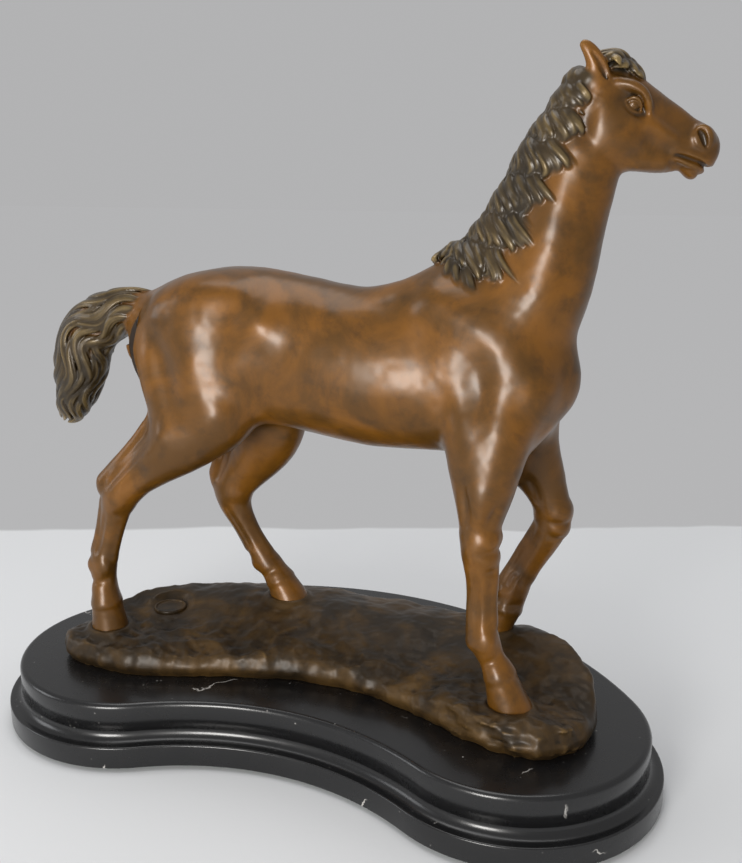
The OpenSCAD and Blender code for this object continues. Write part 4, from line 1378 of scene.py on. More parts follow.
@dataclass
class Horse:
    """The whole horse: every form of it, and the castings that it is parted into."""

    bronze: Material
    hair_bronze: Material
    trunk: Trunk = field(default_factory=Trunk)
    neck: Neck = field(default_factory=Neck)
    head: Head = field(default_factory=Head)
    tail: Tail = field(default_factory=Tail)
    neck_weld: Point = (85.0, 0.0, 211.0)
    neck_lean: float = 25.0
    tail_weld: float = -84.0
    body_soft: float = 4.5
    muscle_soft: float = 5.6
    joint_soft: float = 1.4
    tooling: tuple[tuple[float, float, int], ...] = ((0.13, 9.0, 3), (0.05, 3.2, 4))

    def __post_init__(self) -> None:
        """Make the legs and the mane, and find where the horse stands."""
        self.legs = [right_foreleg(), left_foreleg(), right_hind_leg(), left_hind_leg()]
        self.mane = Mane(self.neck, self.head)
        low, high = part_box("trunk_casting")
        self.shift = (0.0, round((low.y + high.y) / 2 / MM, 1), 0.0)

    def model(self, clay: Clay, with_tail: bool = True, with_head: bool = True) -> None:
        """Lay every form that reaches a block of clay, in the same order in every block.

        Args:
            clay: The block.
            with_tail: Whether the tail is laid too.
            with_head: Whether the head and its hair are laid too.
        """
        self.trunk.model(clay)
        self.neck.model(clay)
        for leg in self.legs:
            leg.model(clay)
        if with_tail:
            self.tail.model(clay)
        clay.soften(self.body_soft)
        self.trunk.finish(clay)
        self.neck.finish(clay)
        clay.soften(self.muscle_soft)
        for leg in self.legs:
            leg.finish(clay)
        clay.soften(self.joint_soft)
        if with_head:
            self.head.model(clay)
            self.mane.model(clay)
        if with_tail:
            self.tail.finish(clay)
        for amount, scale, seed in self.tooling:
            clay.roughen(amount, scale, seed)

    def neck_cut(self, away: int) -> Cut:
        """The cut at the neck's weld, throwing away what is above it (1) or below it (-1)."""
        lean = math.radians(self.neck_lean)
        return Cut(self.neck_weld, (away * math.sin(lean), 0, away * math.cos(lean)),
                   low=(25, -200, 150))

    def leg_cut(self, leg: Leg, away: int) -> Cut:
        """The cut at a leg's weld, reaching only that leg's own side."""
        x, y, z, lean = leg.weld
        lean = math.radians(lean)
        wide = (2.0, 60.0) if leg.side is Side.LEFT else (-60.0, -2.0)
        return Cut((x, y, z), (away * math.sin(lean), 0, away * math.cos(lean)),
                   low=(leg.span[0] - 15, wide[0], 0), high=(leg.span[1] + 15, wide[1], 170))

    def build(self) -> None:
        """Cast every part of the horse."""
        self.build_trunk()
        for leg in self.legs:
            self.build_leg(leg)
        self.build_neck_and_head()
        self.build_tail()

    def build_trunk(self) -> None:
        """Cast the trunk, parted from the neck, the legs and the tail."""
        tail = Cut((self.tail_weld, 0, 199), (-1, 0, 0), (-200, -200, 184), (-60, 200, 300))
        cuts = [self.neck_cut(1), tail]
        cuts += [self.leg_cut(leg, -1) for leg in self.legs]
        clay = Clay((-94, -38, 108), (120, 38, 236), 0.9)
        self.model(clay)
        Casting("trunk", "trunk_casting", cuts, shift=self.shift).cast(clay, self.bronze)

    def build_leg(self, leg: Leg) -> None:
        """Cast one leg, from its weld to the ground."""
        low_y, high_y = (-42, -3) if leg.side is Side.RIGHT else (3, 42)
        cuts = [self.leg_cut(leg, 1), Cut((0, 0, leg.ground), (0, 0, -1))]
        clay = Clay((leg.span[0], low_y, leg.ground - 3),
                    (leg.span[1], high_y, leg.weld[2] + 22), 0.6)
        self.model(clay, with_tail=False, with_head=False)
        Casting(leg.name + "_bronze", leg.name, cuts, shift=self.shift).cast(clay, self.bronze)

    def build_neck_and_head(self) -> None:
        """Cast the neck, the head and the mane in one."""
        clay = Clay((46, -26, 192), (172, 34, 312), 0.5)
        self.model(clay, with_tail=False)
        Casting("neck_and_head", "neck_head_casting", [self.neck_cut(-1)], coarsen=0.0006,
                shift=self.shift).cast(clay, self.bronze)

    def build_tail(self) -> None:
        """Cast the tail."""
        clay = Clay((-150, -17, 130), (-74, 17, 216), 0.5)
        self.model(clay, with_head=False)
        Casting("tail", "tail_casting", [Cut((self.tail_weld, 0, 199), (1, 0, 0))],
                slot="hair_bronze", coarsen=0.0004, shift=self.shift).cast(clay, self.hair_bronze)


# ---------------------------------------------------------------- ground and plinth


@dataclass
class Ground:
    """The rough bronze ground: a kidney-shaped slab with tool marks, lumps and a rocky front."""

    bronze: Material
    hooves: list[tuple[float, float, float, float]]
    outline: Rows = field(default_factory=lambda: [
        (131, -24), (124, -2), (112, 13), (97, 23), (80, 28), (58, 32), (28, 38), (0, 40), (-28, 38),
        (-56, 31), (-82, 17), (-104, -1), (-120, -19), (-128, -37), (-121, -50), (-100, -55), (-80, -54),
        (-56, -47), (-32, -38), (-6, -32), (22, -32), (46, -38), (68, -47), (88, -56), (109, -58),
        (126, -47)])
    bottom: float = 30.0
    near: float = 44.5
    far: float = 53.5
    near_y: float = -38.0
    far_y: float = 14.0
    wall: float = 5.0
    seal: Point = (-86.0, -11.5, 47.5)
    seal_radius: float = 8.0

    def edge_distance(self, x: Array, y: Array) -> Array:
        """Distance from the outline over a grid, negative inside.

        Args:
            x: Coordinates along x.
            y: Coordinates along y.

        Returns:
            One distance for each crossing.
        """
        ring = smooth_row(self.outline, 6, closed=True)
        px, py = np.meshgrid(x, y, indexing="ij")
        best = np.full(px.shape, 1e3)
        inside = np.zeros(px.shape, bool)
        for (ax, ay), (bx, by) in zip(ring, np.roll(ring, -1, 0)):
            wx, wy = bx - ax, by - ay
            part = np.clip(((px - ax) * wx + (py - ay) * wy) / (wx * wx + wy * wy + 1e-9), 0, 1)
            best = np.minimum(best, np.hypot(px - ax - part * wx, py - ay - part * wy))
            crosses = (ay > py) != (by > py)
            inside ^= crosses & (px < (bx - ax) * (py - ay) / (by - ay + 1e-12) + ax)
        return np.where(inside, -best, best)

    @staticmethod
    def cells(x: Array, y: Array, scale: float, seed: int) -> Array:
        """Scooped marks over a grid: 0 at the bottom of a scoop and about 1 on the ridges.

        Args:
            x: Coordinates along x.
            y: Coordinates along y.
            scale: Size of a scoop.
            seed: Which set of scoops.

        Returns:
            One height for each crossing.
        """
        px, py = np.meshgrid(x / scale, y / scale, indexing="ij")
        cx, cy = np.floor(px), np.floor(py)
        best = np.full(px.shape, 9.0)
        zero = np.zeros_like(cx)
        for dx in (-1, 0, 1):
            for dy in (-1, 0, 1):
                gx, gy = cx + dx, cy + dy
                fx = gx + hashed(gx, gy, zero, seed=seed)
                fy = gy + hashed(gx, gy, zero, seed=seed + 1)
                best = np.minimum(best, np.hypot(px - fx, py - fy))
        return best

    def height(self, x: Array, y: Array, edge: Array) -> Array:
        """Height of the top over a grid.

        Args:
            x: Coordinates along x.
            y: Coordinates along y.
            edge: Distance from the outline, negative inside.

        Returns:
            One height for each crossing.
        """
        px, py = np.meshgrid(x, y, indexing="ij")
        rise = eased(np.clip((py - self.near_y) / (self.far_y - self.near_y), 0, 1))
        top = self.near - 0.4 + (self.far - self.near) * rise - 0.15 * np.maximum(py - self.far_y, 0)
        flat = [x, y, np.array([0.0])]
        top += 1.3 * soft_noise(flat, 26, 11)[..., 0] + 1.1 * soft_noise(flat, 13, 12)[..., 0]
        top += 0.45 * soft_noise(flat, 5.6, 13)[..., 0] + 0.10 * soft_noise(flat, 2.3, 14)[..., 0]
        scoops = self.cells(x, y * 1.6, 10, 21) - 0.5
        fine = self.cells(x, y * 1.5, 5.2, 24) - 0.5
        rough = np.clip((-py - 4) / 26, 0.2, 1)
        top += (1.9 * scoops + 1.0 * fine) * rough
        rocky = np.clip((px - 52) / 22, 0, 1) * np.clip((-36 - py) / 12, 0, 1)
        top += rocky * (3.0 * (self.cells(x, y, 17, 31) - 0.5) + 1.0)
        front = np.clip((-14 - py) / 14, 0, 1)
        slope_in = np.clip((edge + 15) / 15, 0, 1)
        top -= (1.2 + 2.4 * front * (1 - rocky)) * slope_in**1.8
        for hx, hy, hz, radius in self.hooves:
            gap = np.hypot(px - hx, py - hy)
            near = eased(np.clip((radius + 5 - gap) / 5, 0, 1))
            top = top * (1 - near) + (hz + 0.1) * near
            top += 0.8 * np.exp(-((gap - radius - 1.2) / 1.6) ** 2)
        gap = np.hypot(px - self.seal[0], py - self.seal[1])
        near = np.clip((self.seal_radius + 4 - gap) / 4, 0, 1)
        return top * (1 - near) + (self.seal[2] - 0.9) * near

    def build(self) -> None:
        """Model and cast the ground."""
        clay = Clay((-132, -62, 27), (135, 45, 62), 0.85)
        x, y, z = clay.axes
        edge = self.edge_distance(x, y)
        top = self.height(x, y, edge)
        flat = [x, y, np.array([0.0])]
        wobble = 0.7 * soft_noise(flat, 7, 41)[..., 0] + 0.5 * soft_noise(flat, 3.4, 42)[..., 0]
        rise = (z - self.bottom)[None, None, :]
        lip = 0.9 * np.exp(-((rise - 5.5) / 2.6) ** 2) - 1.6 * np.exp(-((rise - 0.5) / 1.8) ** 2)
        side = (edge + wobble + 0.8)[..., None] - lip
        front_rock = np.clip((x - 60) / 20, 0, 1)[:, None] * np.clip((-36 - y) / 10, 0, 1)[None, :]
        facets = [self.cells(x + 0.8 * k, y - 1.1 * k, 14, 52) for k in range(-8, 9, 4)]
        level = np.clip(np.round((z - 40) / 4), -2, 2).astype(int) + 2
        lumps = np.stack([facets[k] for k in level], -1)
        side = side + front_rock[..., None] * 3.0 * (0.55 - lumps)
        over = (z[None, None, :] - top[..., None]) * 0.9
        under = self.bottom - z[None, None, :]
        solid = soft_overlap(soft_overlap(side, over, 3.2), under, 0.4)
        hollow = soft_overlap(side + 7.5, z[None, None, :] - (top - self.wall)[..., None], 2)
        clay.field = np.minimum(np.maximum(solid, -hollow), clay.AIR).astype(np.float32)
        clay.roughen(0.16, 2.4, 61)
        Casting("ground", "ground_casting", [Cut((0, 0, self.bottom), (0, 0, -1))],
                slot="ground_bronze", coarsen=0.0004).cast(clay, self.bronze)

@dataclass
class Plinth:
    """The black marble plinth in two tiers, and the felt under it."""

    marble: Material
    felt_finish: Material
    lobe_radius: float = 64.5
    waist_radius: float = 126.0
    bow_radius: float = 182.0
    lower_top: float = 12.0
    step: float = 6.6
    top_round: float = 2.4
    soft: float = 0.8
    arc_points: int = 44

    def __post_init__(self) -> None:
        """Read the plinth's length and heights from the frame, and place its arcs."""
        low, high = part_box("marble_plinth")
        self.low, self.top = low.z / MM, high.z / MM
        self.lobe_x = (high.x - low.x) / 2 / MM - self.lobe_radius
        self.waist_y = -math.sqrt((self.lobe_radius + self.waist_radius) ** 2 - self.lobe_x**2)
        self.bow_y = -math.sqrt((self.bow_radius - self.lobe_radius) ** 2 - self.lobe_x**2)
        self.plan_y = low.y / MM + self.lobe_radius

    def plan(self, inset: float) -> Array:
        """The plan of the plinth, set in all round.

        Args:
            inset: How far in from the edge.

        Returns:
            Points anticlockwise, as x and y.
        """
        start = math.atan2(-self.bow_y, -self.lobe_x)
        end = 2 * math.pi + math.atan2(self.waist_y, self.lobe_x)
        half_waist = math.atan2(self.lobe_x, -self.waist_y)
        half_bow = math.atan2(self.lobe_x, -self.bow_y)
        up = math.pi / 2
        arcs = [(-self.lobe_x, 0, self.lobe_radius - inset, start, end),
                (0, self.waist_y, self.waist_radius + inset, up + half_waist, up - half_waist),
                (self.lobe_x, 0, self.lobe_radius - inset, math.pi - end, math.pi - start),
                (0, self.bow_y, self.bow_radius - inset, up - half_bow, up + half_bow)]
        points = []
        for x, y, radius, a, b in arcs:
            for turn in np.linspace(a, b, self.arc_points, endpoint=False):
                points.append((x + radius * math.cos(turn),
                               self.plan_y + y + radius * math.sin(turn)))
        return np.array(points)

    def section(self) -> list[tuple[float, float]]:
        """The marble's edge: how far in from the plan, and the height, from the bottom up."""
        s, r, cove = self.soft, self.top_round, self.step - 2.4
        face = self.step - 0.6
        quarter = np.radians(np.linspace(0, 90, 6))
        rows = [(s * 2, self.low)]
        rows += [(s * (1 - math.sin(a)), self.low + s * (1 - math.cos(a))) for a in quarter]
        rows += [(s * (1 - math.cos(a)), self.lower_top - s * (1 - math.sin(a))) for a in quarter]
        for a in np.radians(np.linspace(270, 180, 9)):
            rows.append((self.step - cove * (1 + math.cos(a)),
                         self.lower_top + cove * (1 + math.sin(a))))
        rows += [(self.step, self.lower_top + cove + 0.6), (face, self.lower_top + cove + 0.9)]
        rows += [(face, self.top - r * 2)]
        rows += [(face + r * (1 - math.cos(a)), self.top - r * (1 - math.sin(a)))
                 for a in np.radians(np.linspace(0, 90, 8))]
        return rows

    def stacked(self, name: str, rows: list[tuple[float, float]]) -> Mesh:
        """A closed mesh from rings of the plan.

        Args:
            name: The mesh's name.
            rows: How far in and how high each ring is.

        Returns:
            The mesh.
        """
        rings = [[(x, y, z) for x, y in self.plan(inset)] for inset, z in rows]
        return ring_mesh(name, rings, sharp=True)

    def build(self) -> None:
        """Make the marble and the felt."""
        mesh = self.stacked("marble", self.section())
        show("marble", mesh, self.marble, "black_marble", "marble_plinth")
        felt_rows = [(4.0, 0.0), (3.2, 0.15), (3.0, 0.5), (3.0, self.low - 0.3), (3.4, self.low)]
        felt = self.stacked("felt", felt_rows)
        show("felt", felt, self.felt_finish, "felt", "base_felt")


@dataclass
class Seal:
    """The blank foundry seal let into the ground: a low dish with a rolled rim."""

    bronze: Material
    rim: float = 1.2
    facets: int = 96

    def build(self) -> None:
        """Turn the seal from its section."""
        low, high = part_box("foundry_seal")
        centre = (low + high) / 2 / MM
        radius, bottom, top = (high.x - low.x) / 2 / MM, low.z / MM, high.z / MM
        r = self.rim / 2
        turn = np.radians(np.linspace(0, 180, 9))
        section = [(radius, bottom)] + [(radius - r + r * math.cos(a), top - r + r * math.sin(a))
                                        for a in turn]
        section += [(radius - self.rim - 0.4, top - r - 0.2), (radius * 0.5, top - r - 0.1),
                    (radius * 0.2, top - r + 0.05)]
        turns = np.arange(self.facets) * 2 * math.pi / self.facets
        rings = [[(centre.x + s * math.cos(a), centre.y + s * math.sin(a), z) for a in turns]
                 for s, z in section]
        mesh = ring_mesh("seal", rings, sharp=False)
        show("seal", mesh, self.bronze, "ground_bronze", "foundry_seal")


# ---------------------------------------------------------------- finishes


Colour = tuple[float, float, float]


class Nodes:
    """A small bench for wiring up a node tree."""

    def __init__(self, tree: NodeTree) -> None:
        """Start on a tree."""
        self.tree = tree

    def add(self, kind: str, inputs: dict | None = None, **settings: object) -> Node:
        """Place a node.

        Args:
            kind: The node's type.
            inputs: Values or sockets for its inputs, by name or number.
            settings: The node's own properties.

        Returns:
            The node.
        """
        node = self.tree.nodes.new(kind)
        for key, value in settings.items():
            setattr(node, key, value)
        self.fill(node, inputs or {})
        return node

    def fill(self, node: Node, inputs: dict) -> None:
        """Give several inputs of a node their values or links."""
        for key, value in inputs.items():
            self.set(node.inputs[key], value)

    def set(self, socket: Socket, value: object) -> None:
        """Give an input a value, or a link from another socket."""
        if isinstance(value, Socket):
            self.tree.links.new(value, socket)
        elif socket.type == "RGBA" and len(value) == 3:
            socket.default_value = (*value, 1.0)
        else:
            socket.default_value = value

    def math(self, operation: str, *values: object) -> Socket:
        """One step of arithmetic."""
        return self.add("ShaderNodeMath", dict(enumerate(values)), operation=operation).outputs[0]

    def times(self, a: object, b: object) -> Socket:
        """One value times another."""
        return self.math("MULTIPLY", a, b)

    def plus(self, a: object, b: object) -> Socket:
        """One value and another."""
        return self.math("ADD", a, b)

    def minus(self, a: object, b: object) -> Socket:
        """One value less another."""
        return self.math("SUBTRACT", a, b)

    def span(self, value: object, low: float, high: float, to_low: float = 0.0,
             to_high: float = 1.0) -> Socket:
        """Spread a range of values smoothly over another, and hold it there."""
        spread = dict(enumerate((value, low, high, to_low, to_high)))
        return self.add("ShaderNodeMapRange", spread, interpolation_type="SMOOTHSTEP").outputs[0]

    def blend(self, share: object, a: object, b: object) -> Socket:
        """Mix two colours."""
        return self.add("ShaderNodeMix", {0: share, 6: a, 7: b}, data_type="RGBA").outputs[2]

    def noise(self, where: object, scale: float, detail: float = 4.0, rough: float = 0.55,
              **inputs: object) -> Socket:
        """Soft random values from 0 to 1 through space."""
        node = self.add("ShaderNodeTexNoise", {"Vector": where, "Scale": scale, "Detail": detail,
                                               "Roughness": rough, **inputs})
        return node.outputs[0]


def new_group(name: str, inputs: dict[str, tuple[str, object]],
              outputs: dict[str, str]) -> tuple[NodeTree, Nodes, dict, Node]:
    """Start a shader node group.

    Args:
        name: The group's name.
        inputs: Each input's socket type and its usual value.
        outputs: Each output's socket type.

    Returns:
        The group, a bench on it, its inputs as sockets by name, and its output node.
    """
    tree = bpy.data.node_groups.new(name, "ShaderNodeTree")
    for label, (kind, value) in inputs.items():
        socket = tree.interface.new_socket(label, in_out="INPUT", socket_type=kind)
        if value is not None:
            socket.default_value = value
    for label, kind in outputs.items():
        tree.interface.new_socket(label, in_out="OUTPUT", socket_type=kind)
    bench = Nodes(tree)
    entry = bench.add("NodeGroupInput")
    leave = bench.add("NodeGroupOutput")
    return tree, bench, {label: entry.outputs[label] for label in inputs}, leave


NUMBER, TINT, ARROW = "NodeSocketFloat", "NodeSocketColor", "NodeSocketVector"


def patina_group() -> NodeTree:
    """Waxed patina on cast bronze. It is darker in the hollows, from patina and painted shade, and worn
    towards metal on the ridges, with painted highlight there and on the broad swells.

    Returns:
        The group. Its Relief inputs are the casting's own measures of ridge and hollow.
    """
    group, n, i, leave = new_group(
        "cast_patina",
        {"Where": (ARROW, None), "Fine": (NUMBER, 0.0), "Broad": (NUMBER, 0.0),
         "Body": (TINT, None), "Warm": (TINT, None), "Hollow": (TINT, None),
         "Rubbed_and_highlight": (TINT, None), "Rubbing_and_highlight": (NUMBER, 0.5), "Shade_and_patina": (NUMBER, 0.7),
         "Mottle": (NUMBER, 0.5), "Sheen": (NUMBER, 0.35)},
        {"Color": TINT, "Roughness": NUMBER, "Height": NUMBER, "Metal": NUMBER})
    clouds = n.noise(i["Where"], 34.0, 5.0, 0.6, Distortion=0.6)
    patches = n.noise(i["Where"], 95.0, 4.0, 0.62)
    specks = n.noise(i["Where"], 900.0, 3.0, 0.6)
    grain = n.noise(i["Where"], 2600.0, 2.0, 0.5)
    warm = n.times(n.span(clouds, 0.38, 0.66), i["Mottle"])
    # Broad swells take the warm colour too: painted light on the raised forms, over the random warm patina.
    warm = n.math("MAXIMUM", warm, n.times(n.span(i["Broad"], 0.25, 1.0), 0.8))
    colour = n.blend(warm, i["Body"], i["Warm"])
    deep = n.times(n.span(patches, 0.5, 0.72), n.times(i["Mottle"], 0.45))
    colour = n.blend(deep, colour, i["Hollow"])
    # Creases and hollows darken to the hollow colour: dark patina and painted shade together.
    sunk = n.span(n.plus(i["Fine"], n.times(n.minus(patches, 0.5), 0.3)),
                  0.0, -0.75)
    sunk_broad = n.times(n.span(i["Broad"], -0.05, -0.9), 0.75)
    shade_and_patina = n.times(n.math("MAXIMUM", sunk, sunk_broad), i["Shade_and_patina"])
    colour = n.blend(shade_and_patina, colour, i["Hollow"])
    # Ridges lighten towards bright metal: worn bronze and painted highlight together.
    proud = n.span(n.plus(i["Fine"], n.times(n.minus(patches, 0.5), 0.5)),
                   0.25, 1.15)
    rub_and_highlight = n.times(proud, i["Rubbing_and_highlight"])
    colour = n.blend(rub_and_highlight, colour, i["Rubbed_and_highlight"])
    pits = n.span(specks, 0.60, 0.72)
    colour = n.blend(n.times(pits, 0.16), colour, i["Hollow"])
    rough = n.plus(i["Sheen"], n.times(n.minus(clouds, 0.5), 0.16))
    rough = n.plus(rough, n.times(shade_and_patina, 0.22))
    rough = n.minus(rough, n.times(rub_and_highlight, 0.06))
    height = n.plus(n.times(patches, 0.35),
                    n.plus(n.times(specks, 0.12), n.times(grain, 0.05)))
    n.fill(leave, {"Color": colour, "Roughness": rough, "Height": height, "Metal": rub_and_highlight})
    return group


def speck_group() -> NodeTree:
    """Scattered specks and short broken veins, as in polished stone.

    Returns:
        The group, whose masks are 1 on a vein or a speck.
    """
    group, n, i, leave = new_group(
        "stone_marks",
        {"Where": (ARROW, None), "Vein Scale": (NUMBER, 16.0), "Vein Width": (NUMBER, 0.02),
         "Sparse": (NUMBER, 0.6), "Speck Scale": (NUMBER, 260.0)},
        {"Veins": NUMBER, "Specks": NUMBER, "Clouds": NUMBER})
    warp = n.add("ShaderNodeTexNoise", {"Vector": i["Where"], "Scale": 42.0, "Detail": 5.0}).outputs[1]
    shift = n.add("ShaderNodeVectorMath", {0: warp, 1: (0.5, 0.5, 0.5)}, operation="SUBTRACT")
    scaled = n.add("ShaderNodeVectorMath", {0: shift.outputs[0]}, operation="SCALE")
    scaled.inputs["Scale"].default_value = 0.05
    bent = n.add("ShaderNodeVectorMath", {0: i["Where"], 1: scaled.outputs[0]}, operation="ADD")
    cells = n.add("ShaderNodeTexVoronoi", {"Vector": bent.outputs[0], "Scale": i["Vein Scale"]},
                  feature="DISTANCE_TO_EDGE")
    line = n.minus(1.0, n.math("MINIMUM", n.math(
        "DIVIDE", cells.outputs["Distance"], i["Vein Width"]), 1.0))
    broken = n.noise(i["Where"], 36.0, 2.0, 0.5)
    shown = n.times(line, n.span(n.minus(broken, i["Sparse"]), 0.0, 0.05))
    dots = n.add("ShaderNodeTexVoronoi", {"Vector": i["Where"], "Scale": i["Speck Scale"]})
    few = n.span(n.noise(i["Where"], 120.0, 2.0, 0.5), 0.60, 0.68)
    speck = n.times(n.span(dots.outputs["Distance"], 0.16, 0.06), few)
    clouds = n.noise(i["Where"], 22.0, 6.0, 0.6)
    n.fill(leave, {"Veins": shown, "Specks": speck, "Clouds": clouds})
    return group


@dataclass(frozen=True)
class Kit:
    """The shared node groups, built once."""

    patina: NodeTree
    marks: NodeTree


def fresh_material(name: str) -> tuple[Material, Nodes, Node,
                                       Socket]:
    """Start a material.

    Args:
        name: Its name.

    Returns:
        The material, a bench on it, its Principled BSDF and the place on the object.
    """
    material = bpy.data.materials.new(name)
    material.use_nodes = True
    bench = Nodes(material.node_tree)
    shader = next(k for k in material.node_tree.nodes if k.type == "BSDF_PRINCIPLED")
    where = bench.add("ShaderNodeTexCoord").outputs["Object"]
    return material, bench, shader, where


def bumped(bench: Nodes, height: object, strength: float, distance: float) -> Socket:
    """A normal from a height.

    Args:
        bench: The bench to work on.
        height: The height's socket.
        strength: How strongly it shows.
        distance: How tall a height of 1 is, in metres.

    Returns:
        The normal.
    """
    node = bench.add("ShaderNodeBump", {"Height": height, "Strength": strength,
                                        "Distance": distance})
    return node.outputs[0]


@dataclass(frozen=True)
class Tints:
    """The colours of one patina, with its painted shade and painted highlights, and how strongly they show.
    """

    body: Colour
    warm: Colour
    # hollow is the dark of the patina's patches and pits, and also the painted shade in creases.
    hollow: Colour
    # The ridge colour and its amount are worn metal and painted highlight together.
    rubbed_and_highlight: Colour
    rubbing_and_highlight: float
    # How strongly creases darken: dark patina and painted shade together.
    shade_and_patina: float
    mottle: float


# Each finish darkens creases and lights ridges: patina and wear, with painted shade and painted highlight;
# the hair's are the strongest.
SKIN = Tints(body=(0.090, 0.0375, 0.0030), warm=(0.190, 0.0720, 0.0040), hollow=(0.017, 0.0100, 0.0035),
             rubbed_and_highlight=(0.24, 0.140, 0.04), rubbing_and_highlight=0.3, shade_and_patina=0.85, mottle=0.8)
HAIR = Tints(body=(0.022, 0.0140, 0.0050), warm=(0.060, 0.036, 0.0105), hollow=(0.0036, 0.0029, 0.0020),
             rubbed_and_highlight=(0.36, 0.250, 0.10), rubbing_and_highlight=0.7, shade_and_patina=0.97, mottle=0.6)
ROCK = Tints(body=(0.021, 0.0125, 0.0045), warm=(0.120, 0.064, 0.0160), hollow=(0.0050, 0.0040, 0.0028),
             rubbed_and_highlight=(0.30, 0.185, 0.070), rubbing_and_highlight=0.9, shade_and_patina=0.85, mottle=0.6)


@dataclass(frozen=True)
class BronzeFinish:
    """Waxed bronze, with one patina on the skin and another on the hair."""

    name: str
    skin: Tints
    hair: Tints
    sheen: float = 0.44
    metal: float = 0.22
    coat: float = 0.5
    coat_rough: float = 0.25
    specular: float = 0.22
    bump: float = 0.12
    sculpted: bool = True

    def material(self, kit: Kit) -> Material:
        """Make the material.

        Args:
            kit: The shared groups.

        Returns:
            The material.
        """
        material, n, shader, where = fresh_material(self.name)
        patina = n.add("ShaderNodeGroup", node_tree=kit.patina)
        n.set(patina.inputs["Where"], where)
        n.set(patina.inputs["Sheen"], self.sheen)
        hair = 0.0
        if self.sculpted:
            hair = n.add("ShaderNodeAttribute", attribute_name="hair").outputs["Fac"]
            # The relief measures drive the painted shade in the creases and the painted highlights on the
            # ridges.
            for label, layer in (("Fine", "fine_relief"), ("Broad", "broad_relief")):
                read = n.add("ShaderNodeAttribute", attribute_name=layer)
                n.set(patina.inputs[label], read.outputs["Fac"])
        for label in ("body", "warm", "hollow", "rubbed_and_highlight"):
            tint = n.blend(hair, getattr(self.skin, label), getattr(self.hair, label))
            n.set(patina.inputs[label.capitalize()], tint)
        for label in ("rubbing_and_highlight", "shade_and_patina", "mottle"):
            a, b = getattr(self.skin, label), getattr(self.hair, label)
            amount = n.plus(a, n.times(hair, b - a))
            n.set(patina.inputs[label.capitalize()], amount)
        n.fill(shader, {
            "Base Color": patina.outputs["Color"], "Roughness": patina.outputs["Roughness"],
            "Metallic": n.plus(n.times(patina.outputs["Metal"], 0.4), self.metal),
            "Normal": bumped(n, patina.outputs["Height"], self.bump, 0.0006),
            "Specular IOR Level": self.specular, "Coat Weight": self.coat,
            "Coat Roughness": self.coat_rough, "Coat IOR": 1.45})
        return material


@dataclass(frozen=True)
class MarbleFinish:
    """Polished black marble with a few short white veins."""

    name: str = "black_marble"
    body: Colour = (0.0035, 0.0035, 0.0038)
    cloud: Colour = (0.009, 0.009, 0.0095)
    vein: Colour = (0.55, 0.53, 0.50)
    rough: float = 0.24
    coat: float = 0.12
    marks: tuple[tuple[str, float], ...] = (("Vein Scale", 14.0), ("Vein Width", 0.009),
                                            ("Sparse", 0.60), ("Speck Scale", 300.0))

    def material(self, kit: Kit) -> Material:
        """Make the material.

        Args:
            kit: The shared groups.

        Returns:
            The material.
        """
        material, n, shader, where = fresh_material(self.name)
        marks = n.add("ShaderNodeGroup", {"Where": where}, node_tree=kit.marks)
        n.fill(marks, dict(self.marks))
        colour = n.blend(marks.outputs["Clouds"], self.body, self.cloud)
        colour = n.blend(marks.outputs["Veins"], colour, self.vein)
        colour = n.blend(n.times(marks.outputs["Specks"], 0.5), colour, self.vein)
        smear = n.noise(where, 60.0, 5.0, 0.6)
        ripple = n.noise(where, 300.0, 3.0, 0.5)
        n.fill(shader, {
            "Base Color": colour, "Normal": bumped(n, ripple, 0.06, 0.0003),
            "Roughness": n.span(smear, 0.3, 0.8, self.rough, self.rough + 0.08),
            "Coat Weight": self.coat, "Coat Roughness": 0.1})
        return material


@dataclass(frozen=True)
class FeltFinish:
    """Napped felt."""

    name: str = "felt"
    dark: Colour = (0.012, 0.036, 0.02)
    light: Colour = (0.03, 0.085, 0.048)

    def material(self) -> Material:
        """Make the material."""
        material, n, shader, where = fresh_material(self.name)
        nap = n.noise(where, 1900.0, 4.0, 0.7, Distortion=1.2)
        patch = n.noise(where, 90.0, 3.0, 0.5)
        share = n.times(n.span(nap, 0.3, 0.7), n.span(patch, 0.2, 0.8, 0.7, 1.0))
        n.fill(shader, {
            "Base Color": n.blend(share, self.dark, self.light),
            "Normal": bumped(n, nap, 0.7, 0.0004), "Roughness": n.span(nap, 0.2, 0.8, 0.85, 0.98),
            "Sheen Weight": 0.4, "Sheen Roughness": 0.5})
        return material


@dataclass(frozen=True)
class SteelFinish:
    """Zinc-plated steel with fine turning marks and a little dulling."""

    name: str = "plated_steel"
    bright: Colour = (0.56, 0.56, 0.55)
    dull: Colour = (0.34, 0.33, 0.31)

    def material(self) -> Material:
        """Make the material."""
        material, n, shader, where = fresh_material(self.name)
        flat = n.add("ShaderNodeMapping", {"Vector": where, "Scale": (1.0, 1.0, 9.0)})
        turned = n.noise(flat.outputs[0], 700.0, 3.0, 0.6)
        stain = n.noise(where, 160.0, 5.0, 0.6)
        n.fill(shader, {
            "Base Color": n.blend(n.span(stain, 0.45, 0.7), self.bright, self.dull),
            "Roughness": n.span(turned, 0.3, 0.7, 0.28, 0.46),
            "Normal": bumped(n, turned, 0.15, 0.0001), "Metallic": 1.0})
        return material


